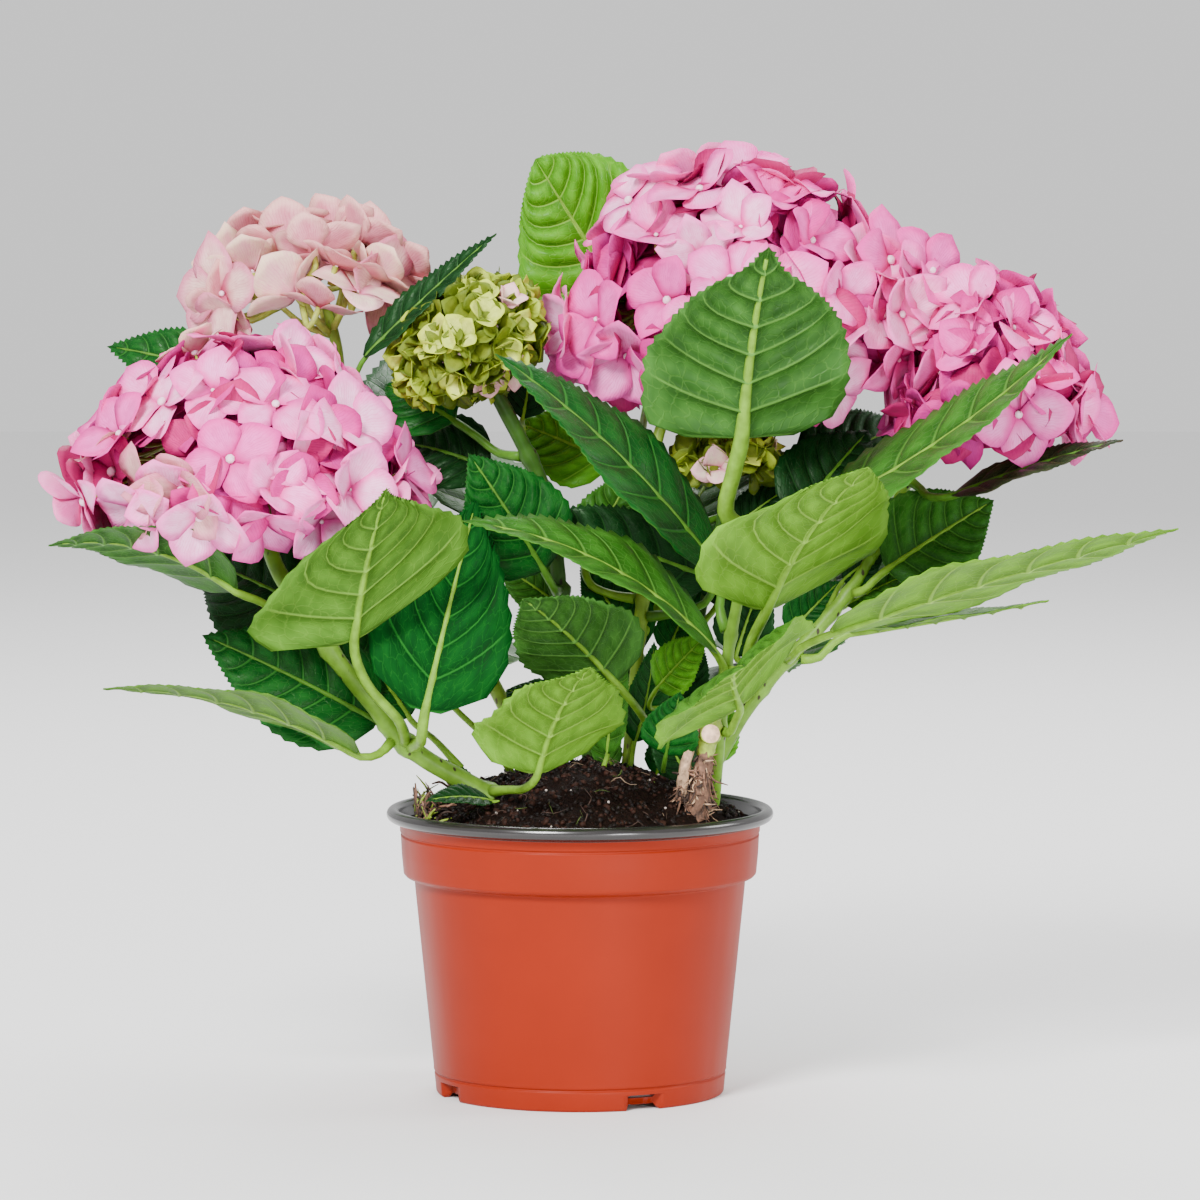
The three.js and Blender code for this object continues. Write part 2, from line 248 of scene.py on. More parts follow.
def slab(bm, uvName, wayOf):
    # a flat grid made a closed slab that reaches down to -1; wayOf tells a corner's place on its own way
    copied = bmesh.ops.duplicate(bm, geom=bm.verts[:] + bm.edges[:] + bm.faces[:])["geom"]
    lower = partsOf(copied, bmesh.types.BMFace)
    bmesh.ops.translate(bm, verts=partsOf(copied, bmesh.types.BMVert), vec=(0, 0, -1))
    bmesh.ops.reverse_faces(bm, faces=lower)
    for face in lower + bmesh.ops.bridge_loops(bm, edges=edgeLoop(bm))["faces"]:
        face.material_index = 1
    uv = bm.loops.layers.uv.new(uvName)
    for face in bm.faces:
        for loop in face.loops:
            loop[uv].uv = wayOf(loop.vert.co)
    bmesh.ops.recalc_face_normals(bm, faces=bm.faces[:])
    return arraysOf(bm)


def limbTemplate(sides, rows):
    # a closed unit tube: its x and y are the ring, its z runs from 0 to 1
    bm = bmesh.new()
    bmesh.ops.create_circle(bm, segments=sides, radius=1, cap_ends=False)
    ring = bm.edges[:]
    for _ in range(rows):
        made = bmesh.ops.extrude_edge_only(bm, edges=ring)["geom"]
        bmesh.ops.translate(bm, verts=partsOf(made, bmesh.types.BMVert), vec=(0, 0, 1 / rows))
        ring = partsOf(made, bmesh.types.BMEdge)
    bmesh.ops.holes_fill(bm, edges=bm.edges[:])
    bmesh.ops.recalc_face_normals(bm, faces=bm.faces[:])
    uv = bm.loops.layers.uv.new("way")
    for face in bm.faces:
        turns = [(math.atan2(loop.vert.co.y, loop.vert.co.x) / math.tau) % 1 for loop in face.loops]
        for loop, turn in zip(face.loops, turns):
            loop[uv].uv = (turn + (max(turns) - turn > 0.5), loop.vert.co.z)
    return arraysOf(bm)


def alongPath(points, share):
    # a smooth curve through the points, read at shares of its length
    points = np.asarray(points, float)
    spans = np.linalg.norm(np.diff(points, axis=0), axis=1)
    marks = np.concatenate(([0], np.cumsum(spans))) / spans.sum()
    slopes = np.gradient(points, marks, axis=0)
    at = np.clip(np.searchsorted(marks, share, side="right") - 1, 0, len(points) - 2)
    width = (marks[at + 1] - marks[at])[:, None]
    t = ((share - marks[at])[:, None]) / width
    a, b, da, db = points[at], points[at + 1], slopes[at] * width, slopes[at + 1] * width
    first = (2 * t**3 - 3 * t**2 + 1) * a + (t**3 - 2 * t**2 + t) * da
    return first + (3 * t**2 - 2 * t**3) * b + (t**3 - t**2) * db


def bentLimb(template, points, radii, relief=None):
    # the unit tube bent onto a path; radii is a list spread evenly along it
    share, ahead = template["co"][:, 2], 0.01
    centre = alongPath(points, share)
    way = alongPath(points, np.clip(share + ahead, 0, 1)) - alongPath(points, np.clip(share - ahead, 0, 1))
    way /= np.linalg.norm(way, axis=1)[:, None]
    whole = np.asarray(points[-1], float) - np.asarray(points[0], float)
    level = abs(whole[1]) < 0.8 * np.linalg.norm(whole)
    side = np.cross(way, np.array((0.31, 0.93, 0.2) if level else (1, 0.1, 0.2)))
    side /= np.linalg.norm(side, axis=1)[:, None]
    lift = np.cross(side, way)
    radius = np.interp(share, np.linspace(0, 1, len(radii)), radii)
    if relief is not None:
        radius = radius * relief(share, np.arctan2(template["co"][:, 1], template["co"][:, 0]))
    x, y = template["co"][:, :1], template["co"][:, 1:2]
    return centre + (side * x + lift * y) * radius[:, None]


def basisFor(normal, spin):
    # rows of a frame whose last is the normal
    z = Vector(normal).normalized()
    x = Quaternion(z, spin) @ z.orthogonal().normalized()
    return np.array((x, z.cross(x), z))


def treeOf(node):
    bm = bmesh.new()
    bm.from_mesh(nodes[node].data)
    tree = BVHTree.FromBMesh(bm)
    bm.free()
    return tree


studio = {
    "aim": (0.0073, 0.0, 0.180),
    "distance": 2.6,
    "rise": math.radians(4.8),
    "lens": 214.5,
    "background": (1.0, 1.0, 1.0, 1.0),
    "glow": 0.94,
    "floor": (0.86, 0.86, 0.86, 1.0),
    "floorReach": 4,
    "floorRoughness": 0.8,
    "lights": (  # place, size, watts
        ((-0.8, -1.8, 1.55), 0.65, 108),
        ((0.7, -1.5, 0.2), 0.36, 14),
        ((1.7, 0.2, 1.0), 0.7, 16),
        ((0.2, 1.3, 1.6), 1.0, 34),
    ),
}


def makeStudio():
    scene = bpy.context.scene
    aim = Vector(studio["aim"])
    back = Vector((0, -math.cos(studio["rise"]), math.sin(studio["rise"])))
    camera = bpy.data.cameras.new("camera")
    camera.lens = studio["lens"]
    scene.camera = linked("camera", camera, aim + back * studio["distance"], back)
    scene.world = bpy.data.worlds.new("studio")
    scene.world.use_nodes = True
    sky = scene.world.node_tree.nodes["Background"]
    sky.inputs["Color"].default_value = studio["background"]
    sky.inputs["Strength"].default_value = studio["glow"]
    for i, (place, size, watts) in enumerate(studio["lights"]):
        lamp = bpy.data.lights.new(f"softbox{i}", "AREA")
        lamp.size = size
        lamp.energy = watts
        linked(f"softbox{i}", lamp, place, Vector(place) - aim)
    bm = bmesh.new()
    bmesh.ops.create_grid(bm, x_segments=1, y_segments=1, size=studio["floorReach"])
    floor = linked("floor", meshFrom(bm, "floor"))
    floor.data.materials.append(newMaterial("floor", studio["floorRoughness"], Base_Color=studio["floor"])[0])


makeStudio()
print("studio ready")

leafShape = {  # lengths in millimetres
    "pairs": 7,  # side veins on each half
    "phases": (0, 0.12, 0.3, 0.5, 0.7, 0.88),  # rows from one side vein to the next
    "across": (0, 0.045, 0.11, 0.22, 0.35, 0.49, 0.63, 0.77, 0.91, 1.0),
    "ridge": (1, 0.3, 0, 0, 0, 0.3),  # how deep each of those rows lies in the vein's groove
    "footPower": 0.55,  # of the outline: the lower, the blunter
    "tipPower": 1.0,
    "drawn": 0.35,  # how far the tip narrows to a point
    "widen": 1.0,
    "foldShare": 1.0,  # of the solid's fold
    "crease": 1.5,  # how softly it folds at the midrib
    "roll": 0.0,  # degrees about its own length
    "arch": 0.0,  # added to its bow
    "skew": 0.0,  # how far one half runs forward and the other back, over the run across
    "veinSlope": 1.35,  # how far a side vein runs forward over its run across
    "thickness": 0.45,
    "rib": 0.5,
    "tooth": 0.023,  # over the leaf's length
    "groove": 0.45,
    "quilt": 0.9,  # how far it swells between side veins
    "curl": 0.05,  # over the half width
    "wave": 0.05,
    "stalk": 1.5,  # radius
}

# the skin of each leaf, and what differs from leafShape
leafLooks = {
    "left_1": ("olive", dict(quilt=0.5, widen=1.25)),
    "left_2": ("olive", dict(stalk=1.8, tipPower=1.3, drawn=0.85, widen=1.12, skew=-0.5, quilt=1.3)),
    "left_3": ("emerald", dict(quilt=0.8, wave=0.07, footPower=0.42, stalk=2.0, veinSlope=2.2)),
    "left_4": ("deep", dict(quilt=1.0)),
    "left_5": ("dark", dict(quilt=1.2, wave=0.07, widen=1.12, footPower=0.42)),
    "left_6": ("rich", dict(arch=5)),
    "left_7": ("pale", dict(quilt=1.6, wave=0.1, widen=1.15, tipPower=1.15, drawn=0.55, tooth=0.03)),
    "back_1": ("deep", {}),
    "back_2": ("dark", dict(stalk=1.0, widen=0.62)),
    "bud_1": ("deep", {}),
    "bud_2": ("dark", dict(wave=0.1)),
    "bud_3": ("deep", dict(quilt=1.3)),
    "main_1": ("lime", dict(quilt=2.6, drawn=0.1, tipPower=0.85, skew=0.25, wave=0.09)),
    "main_2": ("lime", dict(quilt=1.4)),
    "main_3": ("fresh", {}),
    "main_4": ("dark", dict(quilt=1.2)),
    "main_5": ("dark", {}),
    "main_6": ("dark", {}),
    "small_1": ("rich", dict(quilt=1.4)),
    "small_2": ("lime", dict(stalk=0.9)),
    "small_3": ("deep", dict(stalk=0.9)),
    "front_1": ("rich", dict(
        quilt=3.2, groove=1.0, stalk=2.9, veinSlope=0.85, tooth=0.028,
        outline=(  # share of the length, share of the half width
            (0, 0.5), (0.03, 0.8), (0.07, 0.92), (0.13, 0.98), (0.25, 1), (0.4, 0.99), (0.5, 0.94),
            (0.61, 0.81), (0.71, 0.63), (0.79, 0.42), (0.86, 0.2), (0.93, 0.09), (0.97, 0.05), (1, 0),
        ),
    )),
    "front_2": ("pale", dict(stalk=2.0, widen=1.28, quilt=1.4)),
    "front_3": ("deep", dict(stalk=1.6)),
    "front_4": ("fresh", dict(quilt=1.2)),
    "front_5": ("pale", dict(quilt=1.6, widen=1.4, foldShare=0.25, wave=0.1, roll=-38, curl=0.14)),
    "right_1": ("fresh", dict(quilt=1.2)),
    "right_2": ("rich", dict(widen=1.2)),
    "right_3": ("dusk", {}),
    "right_4": ("pale", dict(quilt=0.7, arch=3)),
    "right_5": ("pale", dict(quilt=0.5)),
}

# base colour, vein colour and roughness of the upper skin, then of the lower
leafSkins = {
    "deep": ((0.002, 0.06, 0.006), (0.035, 0.21, 0.025), 0.4, (0.03, 0.12, 0.012), (0.12, 0.28, 0.04), 0.5),
    "emerald": (
        (0.001, 0.042, 0.005), (0.02, 0.19, 0.022), 0.62, (0.001, 0.062, 0.011), (0.04, 0.24, 0.04), 0.62,
    ),
    "dark": (
        (0.002, 0.026, 0.004), (0.014, 0.075, 0.013), 0.38, (0.012, 0.055, 0.01), (0.05, 0.13, 0.03), 0.5,
    ),
    "rich": ((0.016, 0.1, 0.007), (0.09, 0.27, 0.035), 0.38, (0.028, 0.105, 0.014), (0.12, 0.3, 0.045), 0.42),
    "fresh": ((0.022, 0.115, 0.008), (0.11, 0.29, 0.035), 0.4, (0.045, 0.16, 0.012), (0.16, 0.34, 0.04), 0.5),
    "olive": ((0.03, 0.12, 0.008), (0.14, 0.3, 0.03), 0.42, (0.06, 0.165, 0.013), (0.19, 0.36, 0.045), 0.55),
    "pale": ((0.04, 0.15, 0.01), (0.15, 0.33, 0.04), 0.42, (0.105, 0.26, 0.014), (0.26, 0.46, 0.06), 0.55),
    "lime": ((0.065, 0.28, 0.004), (0.28, 0.54, 0.06), 0.38, (0.14, 0.35, 0.02), (0.36, 0.58, 0.1), 0.5),
    "dusk": ((0.012, 0.024, 0.01), (0.1, 0.12, 0.03), 0.4, (0.055, 0.04, 0.028), (0.12, 0.1, 0.06), 0.6),
}

# small leaves low in the plant: where the stalk starts, the blade's foot and tip, half width (all mm),
# the way it faces, its fold in degrees and its skin
youngLeaves = (
    ((46, -10, 108), (50, -6, 121), (53, 3, 146), 6.5, (0.5, -1, 0.3), 14, "lime"),
    ((-24, -24, 106), (-32, -32, 110), (-55, -50, 112), 6.0, (0.2, -0.6, 1), 16, "dark"),
    ((89, -8, 173), (96, 2, 187), (112, -2, 199), 8.5, (-0.3, -1, 0.5), 18, "dark"),
    ((8, -6, 114), (10, -10, 125), (17, -14, 162), 7.5, (-0.4, -1, 0.2), 24, "fresh"),
    ((16, 2, 114), (20, 2, 128), (27, 8, 164), 9.0, (0.5, -1, 0.2), 20, "deep"),
    ((-6, 2, 112), (-12, 0, 141), (-27, 10, 146), 9.0, (0.1, -0.8, 0.7), 14, "deep"),
    ((-22, -16, 106), (-38, -20, 112), (-58, -10, 123), 5.0, (0, -0.7, 0.8), 20, "deep"),
    ((19, 8, 140), (22, 12, 160), (0, 24, 190), 13.0, (0.3, -1, 0.4), 18, "deep"),
    ((38, 24, 150), (38, 30, 168), (27, 36, 194), 12.0, (0.2, -1, 0.5), 16, "deep"),
    ((33, 10, 112), (34, 14, 132), (44, 20, 166), 12.0, (-0.3, -1, 0.3), 22, "dark"),
    ((34, 20, 118), (30, 24, 136), (4, 34, 152), 11.0, (0.1, -1, 0.6), 18, "dark"),
    ((73, -10, 157), (57, 5, 159), (67, 12, 187), 12.0, (-0.2, -1, 0.4), 20, "dark"),
    ((43, 26, 165), (50, 24, 176), (60, 24, 200), 12.0, (-0.2, -1, 0.3), 18, "dark"),
    ((73, -10, 157), (76, 6, 167), (95, 12, 186), 9.0, (0.2, -1, 0.5), 16, "deep"),
    ((89, -8, 173), (97, 1, 178), (123, 5, 190), 7.5, (0.1, -1, 0.8), 14, "fresh"),
    ((48, 26, 191), (57, 25, 205), (78, 28, 220), 8.0, (0.1, -1, 0.5), 16, "dark"),
    ((-5, 14, 170), (-7, 18, 176), (-30, 22, 191), 11.0, (0.2, -1, 0.4), 18, "fresh"),
    ((40, 25, 152), (32, 14, 159), (41, 18, 178), 8.0, (-0.3, -1, 0.3), 22, "deep"),
    ((10, 8, 110), (12, 8, 117), (4, 12, 135), 6.0, (0.2, -1, 0.3), 24, "fresh"),
    ((27, 8, 108), (28, 8, 115), (35, 10, 134), 6.5, (-0.2, -1, 0.3), 24, "deep"),
    ((40, -13, 108), (39, -13, 116), (27, -9, 137), 9.0, (0.3, -1, 0.2), 14, "dark"),
    ((-20, 8, 108), (-47, 10, 141), (-68, 16, 158), 12.0, (0.1, -0.8, 0.7), 14, "deep"),
    ((-21, 7, 236), (-21, 18, 245), (-18, 32, 264), 9.0, (0.2, -1, 0.3), 18, "dark"),
    ((-43, -23, 121), (-62, -8, 138), (-86, -2, 170), 13.0, (0.1, -1, 0.4), 14, "deep"),
)
stalkColours = {"green": (0.065, 0.18, 0.014), "pale": (0.15, 0.30, 0.022)}


def lookWith(changes):
    look = {**leafShape, **changes}
    lengths = ("crease", "arch", "thickness", "rib", "groove", "quilt", "stalk")
    return {**look, **{key: look[key] * mm for key in lengths}}


def makeLeafPattern():
    # side veins in pairs, a midrib, a fine net and painted shade in the grooves beside the veins and along
    # the midrib, on a leaf's own way: across, then from foot to tip
    group, given = newGroup("leafPattern", {"Way": None})
    calc, ramp = partial(sums, group), partial(ramped, group)
    way = put(group, "SeparateXYZ", {0: given["Way"]})
    across, along = calc("ABSOLUTE", calc("MULTIPLY_ADD", way[0], 2.0, -1.0)), way[1]
    phase = calc("FRACT", calc("MULTIPLY_ADD", along, float(leafShape["pairs"]), 0.5))
    offVein = calc("ABSOLUTE", calc("SUBTRACT", phase, 0.5))

    def line(off, run, taper, width, core):
        # 1 on a vein and 0 beside it; it narrows along its run
        share = calc("DIVIDE", off, calc("MULTIPLY_ADD", run, taper, width))
        return calc("SUBTRACT", 1.0, ramp(share, core, 1.0))

    mid = line(across, along, -0.03, 0.05, 0.45)
    side = calc("MULTIPLY", line(offVein, across, -0.045, 0.075, 0.3), ramp(across, 1.0, 0.8))
    # painted shade: darker bands beside each side vein and along the midrib, where the grooves lie
    beside = calc("MULTIPLY", ramp(offVein, 0.36, 0.04), ramp(across, 1.0, 0.7))
    paintedGrooveShade = calc("MAXIMUM", beside, ramp(across, 0.22, 0.03))
    spread = put(group, "VectorMath", {0: given["Way"], 1: (17.0, 30.0, 1.0)}, operation="MULTIPLY")[0]
    stray = put(group, "TexNoise", {"Vector": spread, "Scale": 0.8})["Color"]
    bent = put(group, "VectorMath", {0: stray, 1: (1.1, 1.1, 0.0), 2: spread}, operation="MULTIPLY_ADD")[0]
    flat = {"feature": "DISTANCE_TO_EDGE", "voronoi_dimensions": "2D"}
    net = ramp(put(group, "TexVoronoi", {"Vector": bent, "Scale": 1.0}, **flat)["Distance"], 0.1, 0.0)
    mottle = put(group, "TexNoise", {"Vector": given["Way"], "Scale": 9.0, "Detail": 6.0})[0]
    sunk = calc("MAXIMUM", calc("MAXIMUM", mid, side), calc("MULTIPLY", net, 0.3))
    return handedOut(group, Midrib=mid, Veins=side, Net=net, Height=sunk, Mottle=mottle, Hollow=paintedGrooveShade)


leafPattern = makeLeafPattern()


def leafSkin(name, tone, veinTone, roughness, relief):
    gloss = 0.15 * min(1, (0.7 - roughness) / 0.2)
    material, tree, shader = newMaterial(
        name, roughness, Specular_IOR_Level=gloss, Specular_Tint=(0.7, 1.0, 0.65, 1),
    )
    pattern = patterned(tree, leafPattern, "leafWay")
    # dim is a darker tone for the random mottle; deep is the tone of the painted shade in the vein grooves
    dim, deep = (tuple(share * part for part in tone) for share in (0.78, 0.45))
    light = tuple(part + 0.12 * vein for part, vein in zip(tone, veinTone))
    plain = blended(tree, ramped(tree, pattern["Mottle"], 0.3, 0.7), dim, light)
    colour = layered(tree, pattern, plain, (
        ("Hollow", 0.7, deep), ("Net", 0.16, veinTone), ("Veins", 0.45, veinTone), ("Midrib", 0.9, veinTone),
    ))
    rough = ramped(tree, pattern["Mottle"], 0.3, 0.7, roughness - 0.06, roughness + 0.1)
    dressed(tree, shader, colour, pattern["Height"], 0.6, relief * mm, rough)
    return material


def makeLeafTemplate():
    # whole numbers across and along, and 0 or -1 for the upper and lower skin
    across, phases, pairs = leafShape["across"], leafShape["phases"], leafShape["pairs"]
    columns = len(across) - 1
    rows = len(phases) * pairs
    bm = bmesh.new()
    bmesh.ops.create_grid(bm, x_segments=2 * columns, y_segments=rows, size=1)
    for v in bm.verts:
        v.co = (round(v.co.x * columns), round((v.co.y + 1) / 2 * rows), 0)

    def wayOf(co):
        k, i = round(co.x), round(co.y)
        vein, step = divmod(i, len(phases))
        return (1 + math.copysign(across[abs(k)], k)) / 2, (vein + phases[step]) / pairs

    return slab(bm, "leafWay", wayOf)


leafTemplate = makeLeafTemplate()
stalkTemplate = limbTemplate(10, 26)


def leafWay(name):
    # a leaf's lie, read from its solid: rings of four points, from the tip back to the stem
    bm = bmesh.new()
    bm.from_mesh(nodes[name].data)
    bmesh.ops.remove_doubles(bm, verts=bm.verts, dist=0.01 * mm)
    bm.verts.index_update()
    caps = [v for v in bm.verts if len(v.link_edges) == 4]
    found = {min(caps, key=lambda v: sum(e.calc_length() for e in v.link_edges))}
    seen, rings = set(found), []
    while True:
        found = {e.other_vert(v) for v in found for e in v.link_edges} - seen
        if len(found) != 4:
            break
        seen |= found
        rings.append([v.co.copy() for v in sorted(found, key=lambda v: v.index)])
    bm.free()
    middles = [sum(ring, Vector()) / 4 for ring in rings]
    tip, foot, centre = middles[0], middles[8], middles[4]
    axis = (tip - foot).normalized()
    widest = rings[5]
    left, right = max(((a, b) for a in widest for b in widest), key=lambda pair: (pair[0] - pair[1]).length)
    middle = sum((p for p in widest if p not in (left, right)), Vector()) / 2
    raised = (left + right) / 2 - middle
    lift = (raised - axis * raised.dot(axis)).normalized()
    side = axis.cross(lift)
    edges = sorted(rings[4], key=lambda p: abs((p - centre).dot(side)))
    return {
        "foot": np.array(foot), "axis": np.array(axis), "side": np.array(side), "lift": np.array(lift),
        "length": (tip - foot).length, "half": (left - middle).length,
        "bow": ((edges[0] + edges[1]) / 2 - (foot + tip) / 2).dot(lift),
        "fold": math.asin(min(1, raised.length / (left - middle).length)),
        "stalk": [np.array(place) for place in (*reversed(middles[9:]), foot)],
    }


def ownWay(start, foot, tip, half, face, fold):
    start, foot, tip = (np.array(place) * mm for place in (start, foot, tip))
    length = np.linalg.norm(tip - foot)
    axis = (tip - foot) / length
    lift = np.array(face, float) - axis * (np.array(face) @ axis)
    lift /= np.linalg.norm(lift)
    middle = (start + foot) / 2 + lift * 0.1 * np.linalg.norm(foot - start)
    return {
        "foot": foot, "axis": axis, "side": np.cross(axis, lift), "lift": lift, "length": length,
        "half": half * mm, "bow": 0.06 * length, "fold": math.radians(fold), "stalk": [start, middle, foot],
    }


def rolled(way, turn):
    side, lift = way["side"], way["lift"]
    c, s = math.cos(turn), math.sin(turn)
    return {**way, "side": side * c + lift * s, "lift": lift * c - side * s}


def midlinePoints(way, s):
    rise = 4 * way["bow"] * s * (1 - s)
    return way["foot"] + np.outer(s * way["length"], way["axis"]) + np.outer(rise, way["lift"])


def leafPoints(way, look, rng):
    # k counts columns from the midrib, i counts rows; a and s are shares of the half width and the length
    k, i, layer = leafTemplate["co"].T
    across, phases = np.array(leafShape["across"]), np.array(leafShape["phases"])
    steps = len(phases)
    rows = steps * leafShape["pairs"]
    hand = np.sign(k)
    a = across[np.abs(k).astype(int)]
    step = i.astype(int) % steps
    tight = (i // steps + phases[step]) / leafShape["pairs"]
    r = tight + (i / rows - tight) * a**3
    slope = look["veinSlope"] * way["half"] / way["length"]
    s = r + slope * (0.5 * a + 0.5 * a**2) * np.clip(r / 0.35, 0, 1) ** 0.75 * (1 - r)
    toothed = (np.abs(k) == len(across) - 1) & (i % 2 == 1) & (r > 0.04) & (r < 0.97)
    tooth = look["tooth"] * way["length"] * toothed * rng.uniform(0.8, 1.2)
    s = np.clip(s + 0.4 * tooth / way["length"], 0.004, 1)
    peak = look["footPower"] / (look["footPower"] + look["tipPower"])
    outline = (s / peak) ** look["footPower"] * ((1 - s) / (1 - peak)) ** look["tipPower"]
    outline *= 1 - look["drawn"] * np.exp((s - 1) / 0.13)
    if "outline" in look:
        outline = np.interp(s, *zip(*look["outline"]))
    x = look["widen"] * way["half"] * outline * a + 0.8 * tooth
    ridge = np.array(look["ridge"])[step] * (i < rows) * (i > 0)
    swell = np.sin(math.pi * phases[step]) * np.clip(a / 0.25, 0, 1) * (1 - a**5)
    swell = swell * np.sin(math.pi * np.clip(r, 0, 1)) ** 0.4
    turn = rng.uniform(0, math.tau)
    wave = np.sin(math.tau * (2.3 * s + rng.uniform(0, 1)) + hand * turn) * a**2
    wrinkle = np.sin(19 * s + 5 * a * hand + turn) * np.sin(11 * a + 7 * s) * 0.25
    wrinkle = wrinkle * look["quilt"] * a * (1 - a)
    bend = way["fold"] * look["foldShare"]
    height = np.sqrt(x**2 + look["crease"] ** 2) * math.sin(bend)
    height += look["quilt"] * swell + wrinkle - look["groove"] * ridge * (1 - 0.7 * a)
    height += way["half"] * outline * (look["wave"] * wave - look["curl"] * a**3)
    rib = np.select([np.abs(k) == 0, np.abs(k) == 1], [1.0, 0.6], 0.0) * (1 - 0.7 * s)
    thick = look["thickness"] * (0.35 + 0.65 * (1 - a**6)) + look["groove"] * 1.2 * ridge * (1 - 0.6 * a)
    thick = thick + look["rib"] * rib
    lean = np.outer(np.cos(bend) * np.ones_like(x), way["lift"]) - np.outer(np.sin(bend) * hand, way["side"])
    spread = np.outer(hand * x * math.cos(bend), way["side"] + look["skew"] * way["axis"])
    return midlinePoints(way, s) + spread + np.outer(height, way["lift"]) + lean * (layer * thick)[:, None]


def stalkPoints(way, look):
    # a petiole that runs on under the blade as its midrib
    share, radius = np.linspace(0.06, 0.93, 7), look["stalk"]
    ribs = radius * np.interp(share, (0, 0.25, 1), (0.95, 0.62, 0.2))
    drop = ribs * 0.55 - look["crease"] * math.sin(way["fold"] * look["foldShare"])
    under = midlinePoints(way, share) - np.outer(drop, way["lift"])
    path = np.vstack(way["stalk"][:-1] + [way["stalk"][-1] - 0.3 * radius * way["lift"]] + [under])
    spans = np.concatenate(([0], np.cumsum(np.linalg.norm(np.diff(path, axis=0), axis=1))))
    sizes = [1.35 * radius] + [radius] * (len(way["stalk"]) - 1) + list(ribs)
    return bentLimb(stalkTemplate, path, list(np.interp(np.linspace(0, 1, 12) * spans[-1], spans, sizes)))


def makeLeaves():
    skins, firstSkin = [], {}
    for kind, tones in leafSkins.items():
        firstSkin[kind] = len(skins)
        skins.append(leafSkin(f"{kind}LeafUpper", *tones[:3], -0.6))
        skins.append(leafSkin(f"{kind}LeafUnder", *tones[3:], 0.6))
    stalks = {shade: [] for shade in stalkColours}
    ways = {}

    def grown(way, look, rng, kind, shade):
        stalks[shade].append((stalkTemplate, stalkPoints(way, look), 0))
        return leafTemplate, leafPoints(way, look, rng), firstSkin[kind]

    names = sorted(name for name in nodes if name.startswith("leaf_"))
    for owner in sorted({name.split("_")[1] for name in names}):
        stamps, own = [], [name for name in names if name.split("_")[1] == owner]
        for name in own:
            rng = random.Random(name)
            spare = rng.choice(("deep", "fresh", "rich")), {}
            kind, changes = leafLooks.get(name.removeprefix("leaf_"), spare)
            look = lookWith(changes)
            ways[name] = way = rolled(leafWay(name), math.radians(look["roll"]))
            way["bow"] += look["arch"]
            shade = "green" if kind in ("deep", "dark", "dusk") else "pale"
            stamps.append(grown(way, look, rng, kind, shade))
        joined(f"{owner}Leaves", stamps, skins, own, "leafWay")
    stamps = []
    for i, (*lie, half, face, fold, kind) in enumerate(youngLeaves):
        look = lookWith({"quilt": 0.5, "groove": 0.3, "stalk": 0.5 + 0.055 * half})
        stamps.append(grown(ownWay(*lie, half, face, fold), look, random.Random(f"young {i}"), kind, "pale"))
    joined("youngLeaves", stamps, skins, (), "leafWay")
    for shade, stamps in stalks.items():
        skin = grainy(f"{shade}Stalk", stalkColours[shade], 260, 0.25, 0.45, Specular_IOR_Level=0.18)
        joined(f"{shade}Stalks", stamps, [skin])
    return ways


leafWays = makeLeaves()
print("leaves ready")

# The pot: an outer and an inner curve of radius and height, in millimetres, turned round the middle.
# The height of the lip and its reach come from the solid.
pot = {
    "steps": 192,
    "roll": 2.4,  # radius of the rolled lip
    "foot": 52.6,
    "footInner": 50.0,
    "pad": 12.0,
    "recess": 2.0,
    "footGroove": (  # height on the body's slope, how far it stands out there, height
        (5.2, 0, 5.2), (5.7, 0, 5.7), (7.2, 0, 7.2), (7.7, -0.55, 7.6), (8.1, -0.5, 8.0), (8.6, 0.1, 8.5),
    ),
    "floorTop": 4.0,
    "wall": 1.3,
    "step": (60.4, 80.5),  # where the body meets the collar
    "collar": (64.4, 65.6),  # its radius below and above
    "groove": 9.6,  # below the lip's top
    "rounding": 0.3,
    "notches": 4,
    "notchFirst": 26,  # degrees round from the front
    "notchWidth": 12.0,
    "notchHeight": 5.5,
}


def turned(bm, profile, skin):
    part = bmesh.new()
    points = [part.verts.new((radius * mm, 0, height * mm)) for radius, height in profile]
    for pair in zip(points, points[1:]):
        part.edges.new(pair)
    bmesh.ops.bevel(
        part, geom=points[1:-1], offset=pot["rounding"] * mm, offset_type="OFFSET", segments=2, profile=0.5,
        affect="VERTICES", material=-1, clamp_overlap=True,
    )
    bmesh.ops.spin(
        part, geom=part.verts[:] + part.edges[:], cent=(0, 0, 0), axis=(0, 0, 1), dvec=(0, 0, 0),
        angle=math.tau, steps=pot["steps"], use_merge=True, use_duplicate=False,
    )
    for face in part.faces:
        face.material_index = skin
    mesh = meshFrom(part, "turned")
    bm.from_mesh(mesh)
    bpy.data.meshes.remove(mesh)


